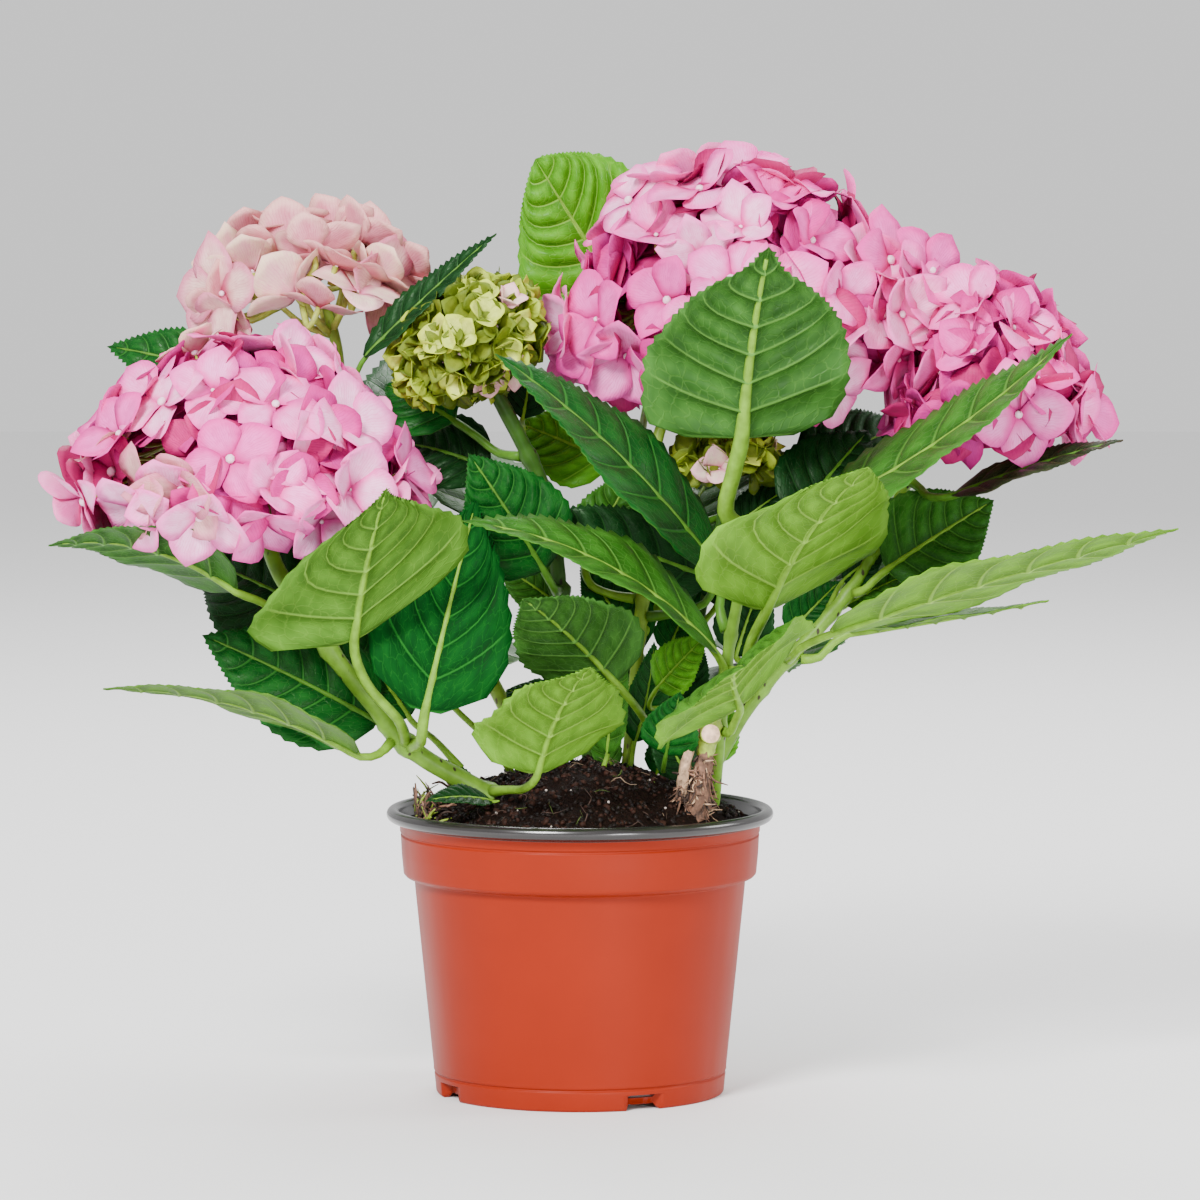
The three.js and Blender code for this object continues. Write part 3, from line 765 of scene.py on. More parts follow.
def makePot():
    reach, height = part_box("pot")[1][0] / mm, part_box("pot")[1][2] / mm
    roll, foot, inner, pad, recess, wall = (
        pot[key] for key in ("roll", "foot", "footInner", "pad", "recess", "wall")
    )
    lip, lipHeight = reach - roll, height - roll
    step, stepHeight = pot["step"]
    low, high = pot["collar"]
    groove = height - pot["groove"]

    def bodyRadius(z):
        return foot + (step - foot) * (z - 1) / (stepHeight - 3.5)

    outside = [
        (0, 0), (pad, 0), (pad + 1, recess), (inner - 1, recess), (inner, 0), (foot - 0.5, 0), (foot, 0.8),
        *((bodyRadius(z) + out, up) for z, out, up in pot["footGroove"]),
        *((bodyRadius(z), z) for z in (10, 20, 34, 48, 62, 74)),
        (step - 0.1, stepHeight - 3), (step, stepHeight - 2.1), (step + 0.4, stepHeight - 1.6),
        (low - 1, stepHeight - 1), (low - 0.1, stepHeight), (low + 0.05, stepHeight + 1.5),
        ((low + high) / 2, (stepHeight + groove) / 2), (high - 0.3, groove - 1.2), (high - 0.2, groove - 0.4),
        (high - 0.65, groove), (high - 0.55, groove + 0.5), (high, groove + 0.9),
        (high + 0.1, lipHeight - roll - 0.8),
    ]
    turns = [math.radians(turn) for turn in range(-70, 181, 25)]
    inside = [
        outside[-1], *((lip + roll * math.cos(turn), lipHeight + roll * math.sin(turn)) for turn in turns),
        (high - wall, lipHeight - 3), (low - wall, stepHeight + 2), (step - wall, stepHeight - 2),
        (foot - wall, pot["floorTop"] + 2), (foot - wall - 2, pot["floorTop"]), (0, pot["floorTop"]),
    ]
    bm = bmesh.new()
    turned(bm, outside, 0)
    turned(bm, inside, 1)
    bmesh.ops.remove_doubles(bm, verts=bm.verts, dist=0.005 * mm)
    # drain notches: the foot's outer face is pushed in and its underside up
    apart = 360 / pot["notches"]
    halfWidth, top = pot["notchWidth"] / 2 * mm, pot["notchHeight"] * mm
    for v in bm.verts:
        radius = math.hypot(v.co.x, v.co.y)
        turn = (math.degrees(math.atan2(v.co.x, -v.co.y)) - pot["notchFirst"]) % apart
        off = math.radians(min(turn, apart - turn)) * radius
        if off > halfWidth or v.co.z > top or radius < (inner - 0.4) * mm:
            continue
        if v.co.z < recess * mm or radius > (inner + 1.5) * mm:
            to = (inner - 0.6) * mm / radius
            v.co = (v.co.x * to, v.co.y * to, max(v.co.z, (recess + 0.1) * mm))
    bmesh.ops.recalc_face_normals(bm, faces=bm.faces[:])
    lining = grainy(
        "darkPlastic", (0.012, 0.010, 0.010), 160, 0.25, 0.22, 0.12, 0.0003, Specular_IOR_Level=0.75,
    )
    finished(meshFrom(bm, "pot"), [clay(), lining], ["pot"])


def clay():
    # satin plastic with faint upright streaks
    material, tree, shader = newMaterial("terracottaPlastic", 0.42, Specular_IOR_Level=0.15)
    place, look = grained(tree, (0.235, 0.014, 0.0015), 30.0, 0.05)
    upright = put(tree, "Mapping", {"Vector": place, "Scale": (50.0, 50.0, 5.0)})[0]
    streaks = put(tree, "TexNoise", {"Vector": upright, "Scale": 1.0, "Detail": 3.0})[0]
    shade = blended(tree, ramped(tree, streaks, 0.45, 0.75, 0.0, 0.1), look["Colour"], (0.26, 0.02, 0.004))
    dressed(tree, shader, shade, look["Height"], 0.05, 0.0002, ramped(tree, streaks, 0.3, 0.7, 0.36, 0.48))
    return material


makePot()
print("pot ready")

soil = {  # lengths in millimetres
    "cells": 96,
    "reach": 0.985,  # of the solid's
    "footReach": 0.76,
    "spare": 6,  # below the lip, where the solid has no top
    "relief": 2.0,
    "heap": 6,  # raised round the cut stub
    "heapReach": 14,
    "heapShift": (-1, 7, 0),
    "crumbs": 2600,
    "crumbSize": (0.45, 1.6),
    "perlite": 26,
    "perliteSize": (0.35, 0.95),
    "fibres": 120,
    "fibreReach": (2.5, 11),
    "fibreRadius": (0.1, 0.24),
}
soilTree = treeOf("soil")
soilLow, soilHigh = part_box("soil")
soilEdge = soilHigh[0]
heapAt = [(a + b) / 2 + shift * mm for a, b, shift in zip(*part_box("stub"), soil["heapShift"])]


def heightAt(x, y):
    hit = soilTree.ray_cast(Vector((x, y, soilHigh[2] + 50 * mm)), Vector((0, 0, -1)))[0]
    return hit.z if hit else None


def reliefAt(x, y):
    lumps = noise.fractal(Vector((x, y, 0)) * 130, 1.0, 2.2, 4)
    off = math.hypot(x - heapAt[0], y - heapAt[1]) / (soil["heapReach"] * mm)
    return soil["relief"] * mm * lumps + soil["heap"] * mm * math.exp(-off * off)


def makeSoil():
    bm = bmesh.new()
    bmesh.ops.create_grid(bm, x_segments=soil["cells"], y_segments=soil["cells"], size=1)
    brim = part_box("pot")[1][2]
    for v in bm.verts:
        x, y = (part * soilEdge * soil["reach"] for part in onDisc(v.co.x, v.co.y))
        top = heightAt(x, y) or brim - soil["spare"] * mm
        v.co = (x, y, top + reliefAt(x, y))
    rim = bmesh.ops.extrude_edge_only(bm, edges=edgeLoop(bm))["geom"]
    for v in partsOf(rim, bmesh.types.BMVert):
        v.co = (soil["footReach"] * v.co.x, soil["footReach"] * v.co.y, soilLow[2])
    bmesh.ops.holes_fill(bm, edges=edgeLoop(bm))
    bmesh.ops.recalc_face_normals(bm, faces=bm.faces[:])
    peat = grainy("peat", (0.007, 0.003, 0.0018), 900, 0.7, 0.75, 0.9, 0.0012, Specular_IOR_Level=0.07)
    finished(meshFrom(bm, "soilMound"), [peat], ["soil"])


def tumbled(rng):
    turn = Vector([rng.gauss(0, 1) for _ in range(3)]).normalized()
    return basisFor(turn, rng.uniform(0, math.tau))


def spotOn(rng, reach=0.94):
    while True:
        x, y = rng.uniform(-1, 1), rng.uniform(-1, 1)
        if x * x + y * y < 1:
            x, y = x * soilEdge * reach, y * soilEdge * reach
            z = heightAt(x, y)
            if z:
                return Vector((x, y, z + reliefAt(x, y)))


def scatterSoil():
    rng = random.Random("soil")
    bm = bmesh.new()
    bmesh.ops.create_icosphere(bm, subdivisions=1, radius=1)
    lump = arraysOf(bm)
    shapes = [lump["co"] * [[rng.uniform(0.65, 1.25)] for _ in lump["co"]] for _ in range(12)]
    crumbs, perlite, fibres = [], [], []
    for _ in range(soil["crumbs"]):
        size = rng.uniform(*soil["crumbSize"]) ** 1.4 * mm
        shape = rng.choice(shapes) * (size, size * rng.uniform(0.5, 1), size * rng.uniform(0.4, 0.9))
        crumbs.append((lump, np.array(spotOn(rng)) + shape @ tumbled(rng), rng.choice((0, 0, 1))))
    for _ in range(soil["perlite"]):
        size = rng.uniform(*soil["perliteSize"]) * mm
        spot = np.array(spotOn(rng)) + (0, 0, 0.6 * mm)
        perlite.append((lump, spot + rng.choice(shapes) * size @ tumbled(rng), 0))
    for _ in range(soil["fibres"]):
        start = spotOn(rng, 0.9)
        reach = rng.uniform(*soil["fibreReach"]) * mm
        turn, bend = rng.uniform(0, math.tau), rng.uniform(-1.6, 1.6)
        path = []
        for share in (0, 0.33, 0.67, 1):
            way = turn + bend * share
            spot = start + Vector((math.cos(way), math.sin(way), 0)) * reach * share
            lift = rng.uniform(0.3, 2.6) * mm
            path.append((spot.x, spot.y, (heightAt(spot.x, spot.y) or start.z) + lift * (share > 0)))
        radius = rng.uniform(*soil["fibreRadius"]) * mm
        points = bentLimb(fibreTemplate, path, [radius, radius, 0.5 * radius])
        fibres.append((fibreTemplate, points, rng.choice((0, 1, 1, 1, 2))))
    crumbSkins = [
        grainy("darkCrumb", (0.006, 0.003, 0.002), 700, 0.6, 0.5, Specular_IOR_Level=0.15),
        grainy("barkCrumb", (0.026, 0.010, 0.006), 700, 0.5, 0.6, Specular_IOR_Level=0.12),
    ]
    rootSkins = [
        grainy("paleRoot", (0.28, 0.19, 0.12), 600, 0.4, 0.7),
        grainy("brownRoot", (0.06, 0.03, 0.02), 600, 0.4, 0.75),
        grainy("mossThread", (0.08, 0.13, 0.015), 600, 0.4, 0.7),
    ]
    joined("crumbs", crumbs, crumbSkins)
    joined("perlite", perlite, [grainy("perlite", (0.42, 0.36, 0.32), 900, 0.3, 0.8)])
    joined("fibres", fibres, rootSkins)


fibreTemplate = limbTemplate(3, 5)
makeSoil()
scatterSoil()
print("soil ready")

# each stem's skin and its extra thickness
stemLooks = {
    "left": ("paleStem", 1.12),
    "back": ("limeStem", 1.0),
    "bud": ("darkStem", 1.05),
    "main": ("limeStem", 1.0),
    "small": ("darkStem", 1.0),
    "front": ("paleStem", 1.0),
    "right": ("paleStem", 1.0),
}
stemShape = {
    "sides": 14,
    "rows": 72,
    "widen": 1.04,
    "dip": 10,  # how far it starts below its solid, in millimetres
    "rise": 0.3,  # how high it ends in its head
    "node": (0.26, -0.6, 2.6),  # where leaves join: how much wider, its place and length in millimetres
    "neck": (0.1, 2.4, 0.9),  # how much narrower it is just above
}
stemSkins = {  # colour, spots
    "paleStem": ((0.13, 0.27, 0.022), (0.035, 0.03, 0.012)),
    "limeStem": ((0.18, 0.30, 0.03), (0.08, 0.07, 0.02)),
    "darkStem": ((0.035, 0.10, 0.012), (0.02, 0.02, 0.01)),
}


def makeLenticels():
    # small dashes scattered along a stem
    group, given = newGroup("lenticels", {"Place": None})
    drawn = put(group, "VectorMath", {0: given["Place"], 1: (1.0, 1.0, 0.45)}, operation="MULTIPLY")[0]
    cells = put(group, "TexVoronoi", {"Vector": drawn, "Scale": 420.0})
    chosen = put(group, "SeparateColor", {0: cells["Color"]})[0]
    small, few = ramped(group, cells["Distance"], 0.3, 0.18), sums(group, "LESS_THAN", chosen, 0.3)
    return handedOut(group, Spots=sums(group, "MULTIPLY", small, few))


lenticels = makeLenticels()


def stemSkin(name, colour, spotColour):
    material, tree, shader = newMaterial(name, 0.42, Specular_IOR_Level=0.2)
    place, look = grained(tree, colour, 180.0, 0.25)
    spots = put(tree, "Group", {"Place": place}, node_tree=lenticels)["Spots"]
    height = sums(tree, "MULTIPLY_ADD", spots, 0.5, look["Height"])
    dressed(tree, shader, blended(tree, spots, look["Colour"], spotColour), height, 0.4, 0.0005)
    return material


def centreLine(name, count=14):
    # the middle and radius of a stem's solid at level cuts, from the soil up
    low, high = (corner[2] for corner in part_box(name))
    mesh = nodes[name].data
    co = np.array([v.co for v in mesh.vertices])
    starts, ends = co[np.array([e.vertices for e in mesh.edges])].swapaxes(0, 1)
    points, radii = [], []
    for z in np.linspace(low + 2.5 * mm, high - 2.5 * mm, count):
        cut = (starts[:, 2] - z) * (ends[:, 2] - z) < 0
        a, b = starts[cut], ends[cut]
        t = ((z - a[:, 2]) / (b[:, 2] - a[:, 2]))[:, None]
        ring = (a + (b - a) * t)[:, :2]
        turns = np.linspace(0, math.pi, 12, endpoint=False)
        points.append((*(ring.min(0) + ring.max(0)) / 2, z))
        radii.append(min(np.ptp(ring @ (math.cos(turn), math.sin(turn))) for turn in turns) / 2)
    return np.array(points), np.array(radii)


def nearestShare(path, spot):
    shares = np.linspace(0, 1, 200)
    return shares[np.argmin(np.linalg.norm(alongPath(path, shares) - spot, axis=1))]


def makeStems():
    # each stem runs from below the soil, with a node where each pair of leaves leaves it, into its head
    template = limbTemplate(stemShape["sides"], stemShape["rows"])
    (node, *nodePlace), (neck, *neckPlace) = stemShape["node"], stemShape["neck"]
    stamps, tops = [], {}
    for owner, (skin, widen) in stemLooks.items():
        points, radii = centreLine("stem_" + owner)
        way = (points[2] - points[0]) / np.linalg.norm(points[2] - points[0])
        dip = points[0] - way * stemShape["dip"] * mm
        end = points[-1] + (points[-1] - points[-3]) * 0.15
        if "head_" + owner in nodes:
            low, high = (np.array(corner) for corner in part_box("head_" + owner))
            end = points[-1] * 0.45 + (low + high) / 2 * 0.55
            end[2] = max(points[-1][2], low[2] + stemShape["rise"] * (high[2] - low[2]))
        tops[owner] = end
        path = np.vstack([dip, points, end])
        own = [way for leaf, way in leafWays.items() if leaf.startswith(f"leaf_{owner}_")]
        joints = [nearestShare(path, way["stalk"][0]) for way in own]
        length = np.linalg.norm(np.diff(path, axis=0), axis=1).sum()
        phase = random.Random("stem_" + owner).uniform(0, math.tau)

        def relief(share, angle):
            swell = 1 + 0.03 * np.sin(3 * angle + 9 * share + phase) + 0.02 * np.sin(60 * share + 2 * angle)
            for joint in joints:
                off = (share - joint) * length / mm
                swell = swell + node * hump(off, *nodePlace) - neck * hump(off, *neckPlace)
            return swell

        widen *= stemShape["widen"]
        sizes = [widen * size for size in (radii[0] * 1.15, *radii, radii[-1] * 0.75)]
        stamps.append((template, bentLimb(template, path, sizes, relief), list(stemSkins).index(skin)))
    skins = [stemSkin(name, *tones) for name, tones in stemSkins.items()]
    joined("stems", stamps, skins, ["stem_" + owner for owner in stemLooks])
    return tops


stemTops = makeStems()
print("stems ready")

stub = {  # lengths in millimetres, heights from the foot of the solid
    "lean": 0.13,
    "core": ((-8, 5.2), (4, 4.4), (14, 3.1), (25, 2.8)),  # height and radius
    "node": ((23, 2.6), (28, 4.2), (35, 4.6), (41, 2.6)),
    "cut": ((0.15, -0.95, 0.12), 6.2, 3.3),  # direction, reach and radius of the cut branch
    "cutHeight": 31,
    "arm": ((-5.5, 3, 6), (-6.8, -1, 16), (-5.6, -2, 27), (-3.2, -2, 36)),  # a second cut shoot beside it
    "armRadius": 1.7,
    "threads": 260,
    "threadRadius": (0.14, 0.5),
    "threadLength": (2.5, 10),
    "threadHeight": 24,
    "armThreads": 0.3,  # the share of them on the second shoot
    "armHeights": (3, 21),
    "sproutsFrom": 37,
    "sprouts": ((-2, -3, 13), (2.5, -2, 15), (-5, 1, 10), (4.5, 1, 9)),
    "rimTwigs": 110,
    "rimAt": (-57, -17),  # where dry twigs lie by the lip
    "rimSpread": (5, 6),
    "rimLift": 8,
    "rimReach": 61,  # from the pot's middle
    "rimTop": 99,  # where the soil's solid has no top
    "twigRadius": (0.25, 0.7),
    "twigLength": (3, 12),
}


def makeStub():
    rng = random.Random("stub")
    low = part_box("stub")[0][2]
    middle = centreLine("stub", 6)[0].mean(axis=0)
    skins = [
        grainy("oldWood", (0.14, 0.068, 0.04), 420, 0.7, 0.8, 0.8, 0.001),
        grainy("cutWood", (0.70, 0.46, 0.31), 500, 0.3, 0.7),
        grainy("greenNode", (0.24, 0.33, 0.03), 300, 0.4, 0.5),
        grainy("bronzeThread", (0.24, 0.12, 0.075), 500, 0.6, 0.75),
        grainy("darkThread", (0.04, 0.02, 0.013), 500, 0.6, 0.75),
        grainy("paleThread", (0.44, 0.28, 0.17), 500, 0.5, 0.75),
    ]
    thick, ringed = limbTemplate(16, 16), limbTemplate(20, 10)
    cap = (ringed["count"] == 20) & (ringed["skin"] == 0)
    ringed["skin"] = np.where(cap, 1, 2)
    stamps = []

    def gnarled(share, angle):
        return 1 + 0.22 * np.sin(5 * angle + 9 * share) * np.sin(2 * angle - 17 * share)

    def collared(share, angle):
        return 1 + 0.1 * np.sin(3 * angle) * (1 - share) + 0.16 * hump(share, 0.84, 0.1)

    def at(height, x=0, y=0):
        x += stub["lean"] * height - 1
        return np.array((middle[0] + x * mm, middle[1] + y * mm, low + height * mm))

    def limb(template, path, sizes, skin, relief=None):
        stamps.append((template, bentLimb(template, path, [size * mm for size in sizes], relief), skin))

    def thread(path, sizes, skinChoices):
        size = rng.uniform(*sizes)
        limb(fibreTemplate, path, (size, 1.2 * size, 0.5 * size), rng.choice(skinChoices))

    for key, skin in (("core", 0), ("node", 2)):
        heights, sizes = zip(*stub[key])
        limb(thick, [at(height) for height in heights], sizes, skin, gnarled)
    way, reach, radius = stub["cut"]
    way = np.array(way) / np.linalg.norm(way)
    path = [at(stub["cutHeight"]) + way * share * reach * mm for share in (0, 0.5, 1)]
    limb(ringed, path, (1.15 * radius, radius, radius), 0, collared)
    sizes = [share * stub["armRadius"] for share in (1.5, 1.2, 1, 1.05)]
    limb(thick, [at(z, x, y) for x, y, z in stub["arm"]], sizes, 5, gnarled)
    foot = at(stub["sproutsFrom"])
    for x, y, z in stub["sprouts"]:
        top = at(stub["sproutsFrom"] + z, x, y)
        limb(thick, [foot, (foot + top) / 2 + (0, -1.5 * mm, 0), top], (1.5, 1.0, 0.5), 2)
    # loose bark and roots hang round its foot and the second shoot's
    for _ in range(stub["threads"]):
        turn = rng.uniform(0, math.tau)
        away = np.array((math.cos(turn), math.sin(turn), 0))
        if rng.random() < stub["armThreads"]:
            height = rng.uniform(*stub["armHeights"])
            root = at(height, -6) + away * 1.4 * mm
        else:
            height = stub["threadHeight"] * rng.random() ** 1.3
            root = at(height) + away * (4.2 - 0.06 * height) * rng.uniform(0.6, 1.1) * mm
        length = rng.uniform(*stub["threadLength"]) * (1.4 - 0.02 * height)
        drop = rng.uniform(-0.3, 1)
        bend = root + away * rng.uniform(0.3, 2.0) * mm - (0, 0, 0.45 * length * drop * mm)
        spread = np.array((rng.gauss(0, 1.8), rng.gauss(0, 1.8), -0.5 * length * drop)) * mm
        thread([root, bend, bend + away * 0.8 * mm + spread], stub["threadRadius"], (0, 3, 3, 4, 4, 5))
    # dry twigs in a heap by the lip
    reach = stub["rimReach"] * mm
    around = tuple(zip(stub["rimAt"], stub["rimSpread"]))
    for _ in range(stub["rimTwigs"]):
        spot = [place * mm + rng.gauss(0, spread) * mm for place, spread in around]
        start = np.array((*spot, 0.0))
        start[:2] /= max(1, math.hypot(*start[:2]) / reach)
        start[2] = (heightAt(*start[:2]) or stub["rimTop"] * mm) + rng.uniform(0, stub["rimLift"]) * mm
        length = rng.uniform(*stub["twigLength"]) * mm
        turn, climb = rng.uniform(0, math.tau), rng.uniform(0, 1) ** 1.5
        end = start + length * np.array((math.cos(turn) * 0.8, math.sin(turn) * 0.7, climb))
        end[:2] /= max(1, math.hypot(*end[:2]) / reach)
        bend = (start + end) / 2 + (0, 0, rng.uniform(0, 1.5) * mm)
        thread([start, bend, end], stub["twigRadius"], (0, 3, 4, 4, 4, 2))
    joined("cutStub", stamps, skins, ["stub"])


makeStub()
print("stub and dry bits ready")

sepalShape = {
    "across": 4,
    "along": 5,
    "thickness": 0.3 * mm,
    "veins": 16,
    "claw": 0.26,  # a sepal's width at its foot over its full width
    "point": 0.15,  # how far its tip is drawn out
    "length": (0.86, 1.06),  # over the floret's reach
    "half": (0.46, 0.56),  # over the length
    "narrow": (0, 0.14),  # how much narrower it is at its tip
    "skew": (-0.1, 0.1),
    "cup": (-0.12, 0.34),
    "bend": (-0.36, 0.1),
    "crease": (-0.04, 0.24),
    "ruffle": (0.02, 0.1),
    "twist": (-0.18, 0.18),
}
floretShape = {  # angles in degrees
    "counts": (4, 4, 4, 4, 4, 5),
    "open": (-14, 16),  # beside its head's own
    "sway": (-12, 12),  # of each sepal
    "turn": (-0.14, 0.14),  # round the bead, in radians
    "raise": 6,  # of every other sepal
    "lift": 0.35 * mm,  # between one sepal and the next
}

# face, its paler middle (partly a painted highlight), the deep tone of claw and veins, and the back
sepalTones = {
    "blush": ((0.94, 0.20, 0.55), (0.98, 0.60, 0.84), (0.76, 0.015, 0.30), (0.88, 0.24, 0.52)),
    "pale": ((0.92, 0.12, 0.48), (0.96, 0.36, 0.72), (0.70, 0.008, 0.26), (0.82, 0.14, 0.44)),
    "mid": ((0.80, 0.05, 0.36), (0.90, 0.16, 0.56), (0.54, 0.005, 0.19), (0.70, 0.06, 0.34)),
    "hot": ((0.60, 0.018, 0.24), (0.74, 0.06, 0.40), (0.34, 0.003, 0.11), (0.54, 0.03, 0.24)),
    "cream": ((0.86, 0.50, 0.50), (0.90, 0.84, 0.60), (0.72, 0.13, 0.36), (0.84, 0.62, 0.44)),
    "dusty": ((0.70, 0.24, 0.34), (0.84, 0.66, 0.54), (0.44, 0.025, 0.12), (0.76, 0.42, 0.38)),
    "young": ((0.50, 0.60, 0.05), (0.70, 0.76, 0.17), (0.20, 0.29, 0.012), (0.37, 0.47, 0.034)),
    # a dark magenta used only in the layer under: painted shade between florets
    "plum": ((0.46, 0.008, 0.13), (0.58, 0.02, 0.2), (0.22, 0.002, 0.05), (0.36, 0.01, 0.1)),
    "shade": ((0.12, 0.17, 0.008), (0.22, 0.27, 0.02), (0.04, 0.07, 0.003), (0.08, 0.12, 0.006)),
}

# Florets on each head: their reach and spacing in millimetres, how far they open in degrees, the lowest slope
# they grow on, how far they pass the head's outline over their reach, the share with a full bead,
# the shares of each tone, outside and in the layer under it; the layer under takes darker tones as painted
# shade between the florets.
heads = {
    "left": {
        "size": 18.5, "apart": 21.0, "open": 18, "lowest": -0.8, "pass": 0.2, "bead": 1.7, "beads": 0.8,
        "tones": {"blush": 8, "pale": 6, "mid": 1, "cream": 0.25}, "under": {"hot": 4, "plum": 3, "dusty": 1},
        "shift": (-2, 0, -3),
    },
    "back": {
        "size": 19.5, "apart": 17.0, "open": 26, "lowest": -0.1, "pass": 0.25, "bead": 1.3, "beads": 0.3,
        "tones": {"dusty": 9, "cream": 3, "mid": 1}, "layers": ((1.0, 1.0),), "lean": (0.1, 1.7, 0.8),
        "twig": 2.1, "drop": (2.5, -0.7, -14), "shift": (1, 0, -5),
        "extra": ((-131, 34, 290), (-127, 38, 280), (-75, 36, 293)),
    },
    "bud": {
        "size": 9.5, "apart": 7.6, "open": 50, "lowest": -0.95, "pass": 0.35, "bead": 0.9, "beads": 0.4,
        "tones": {"young": 14, "cream": 1}, "under": {"shade": 1}, "gaps": 0.05,
    },
    "main": {
        "size": 19.0, "apart": 19.5, "open": 22, "lowest": -0.75, "pass": 0.24, "bead": 1.7, "beads": 0.6,
        "tones": {"blush": 6, "pale": 8, "mid": 3, "hot": 0.5}, "under": {"hot": 4, "plum": 4},
        "shift": (0, 0, -2.5), "extra": ((112, 6, 303), (121, 2, 294), (116, -3, 284), (127, 8, 299)),
    },
    "small": {
        "size": 11.0, "apart": 9.5, "open": 38, "lowest": -0.9, "pass": 0.4, "bead": 0.9, "beads": 0.4,
        "tones": {"young": 6, "cream": 1}, "under": {"shade": 1}, "gaps": 0.1,
    },
    "right": {
        "size": 18.5, "apart": 18.5, "open": 24, "lowest": -0.6, "pass": 0.4, "bead": 1.6, "beads": 0.6,
        "tones": {"pale": 5, "mid": 6, "hot": 3}, "under": {"hot": 2, "plum": 3}, "shift": (-3, 0, -5),
    },
}
headShape = {
    "layers": ((1.0, 1.0), (0.8, 0.9)),  # how far out each one lies, and its spacing
    "gaps": 1.0,  # florets are left out where noise is above this
    "lean": (0, 0, 0),  # the way all florets turn
    "shift": (0, 0, 0),  # of the florets, in millimetres
    "drop": (0, 0, 0),  # of the boughs' start, in millimetres
    "extra": (),  # single florets that stand out
    "extraTurn": (0.1, -0.6, 0.3),  # added to the way they face
    "sink": 0.22,  # how far a floret starts within the outline, over its reach
    "outward": 0.7,  # how far it turns from the head's middle
    "stray": 0.2,
    "sizes": (0.84, 1.08),
    "gapScale": 70,
    "beadSizes": (0.85, 1.15),
    "smallBead": 0.55,
    "boughsApart": 2.4,  # over the florets' spacing
    "boughReach": (0.55, 0.85),  # toward the outline, then how much of that way
    "boughRadii": (0.085, 0.06, 0.05),  # over a floret's reach, as the next
    "twigRadii": (0.034, 0.028),
    "twig": 1,  # thickness of the floret's own stalk
}


def makePetalPattern():
    # fine veins that fan from the claw, a rim and a soft paler middle that is partly a painted highlight; the
    # way runs across, then from claw to tip
    group, given = newGroup("petalPattern", {"Way": None})
    calc, ramp = partial(sums, group), partial(ramped, group)
    way = put(group, "SeparateXYZ", {0: given["Way"]})
    across, high = (calc("MULTIPLY_ADD", way[i], 2.0, -1.0) for i in (0, 1))
    mottle = put(group, "TexNoise", {"Vector": given["Way"], "Scale": 5.0, "Detail": 4.0})[0]
    fan = calc("ADD", calc("DIVIDE", across, calc("ADD", way[1], 0.3)), calc("MULTIPLY", mottle, 0.3))
    phase = calc("FRACT", calc("MULTIPLY", fan, sepalShape["veins"] / 2))
    off = calc("ABSOLUTE", calc("SUBTRACT", phase, 0.5))
    veins = calc("MULTIPLY", ramp(off, 0.2, 0.02), ramp(way[1], 1.0, 0.5, 0.35, 1.0))
    squares = calc("ADD", *(calc("MULTIPLY", part, part) for part in (across, high)))
    rim, heartAndHighlight = (ramp(squares, 0.8, end) for end in (1.0, 0.05))
    return handedOut(group, Veins=veins, Claw=ramp(way[1], 0.42, 0.02), Rim=rim, Heart=heartAndHighlight, Mottle=mottle)


petalPattern = makePetalPattern()


def petalSkin(name, tone, middle, deep):
    material, tree, shader = newMaterial(name, 0.55, Specular_IOR_Level=0.2)
    pattern = patterned(tree, petalPattern, "petalWay")
    rim = tuple(0.55 * a + 0.45 * b for a, b in zip(tone, deep))
    # the paler middle is partly the sepal's own tone and partly a painted highlight
    ground = layered(tree, pattern, tone, [("Heart", 0.7, middle)])
    mottled = blended(tree, ramped(tree, pattern["Mottle"], 0.62, 0.3, 0.0, 0.3), ground, deep)
    colour = layered(tree, pattern, mottled, (("Claw", 0.68, deep), ("Veins", 0.3, deep), ("Rim", 0.6, rim)))
    rough = ramped(tree, pattern["Mottle"], 0.3, 0.7, 0.45, 0.65)
    dressed(tree, shader, colour, pattern["Veins"], 0.35, -0.3 * mm, rough)
    return material


def makeSepalTemplate():
    # a rounded slab in a unit disc; its foot is at y = -1
    bm = bmesh.new()
    bmesh.ops.create_grid(bm, x_segments=sepalShape["across"], y_segments=sepalShape["along"], size=1)
    for v in bm.verts:
        v.co = (*onDisc(v.co.x, v.co.y), 0)
    return slab(bm, "petalWay", lambda co: ((co.x + 1) / 2, (co.y + 1) / 2))


def makeBeadTemplate():
    bm = bmesh.new()
    bmesh.ops.create_uvsphere(bm, u_segments=8, v_segments=5, radius=1)
    return arraysOf(bm)


sepalTemplate = makeSepalTemplate()
beadTemplate = makeBeadTemplate()
twigTemplate = limbTemplate(6, 6)


def sepalPoints(length, half, tilt, rng):
    # one sepal that leaves the floret's middle along y, with its face toward z
    def drawn(*keys):
        return [rng.uniform(*sepalShape[key]) for key in keys]

    x, y, layer = sepalTemplate["co"].T
    share = (y + 1) / 2
    claw = sepalShape["claw"]
    narrow, cup, bend, crease = drawn("narrow", "cup", "bend", "crease")
    wide = (claw + (1 - claw) * np.clip(share / 0.45, 0, 1) ** 0.8) * (1 - narrow * share**2)
    edge = np.clip(x**2 + y**2, 0, 1)
    turn = rng.uniform(0, math.tau)
    ruffle, twist, skew = drawn("ruffle", "twist", "skew")
    wave = np.sin(3 * np.arctan2(y, x) + turn) * edge**2 * ruffle + twist * x * share
    across = x * half * wide + skew * half * share**2
    rise = half * (cup * x**2 * share + crease * np.abs(x) * share + wave) + length * bend * share**2
    rise = rise + layer * sepalShape["thickness"] * (1 - 0.6 * edge)
    point = sepalShape["point"] * rng.uniform(0, 1) * np.clip(1 - 2.2 * np.abs(x), 0, 1) * share**4
    along = length * (share + point)
    c, s = math.cos(math.radians(tilt)), math.sin(math.radians(tilt))
    return np.stack((across, along * c - rise * s, along * s + rise * c), 1)


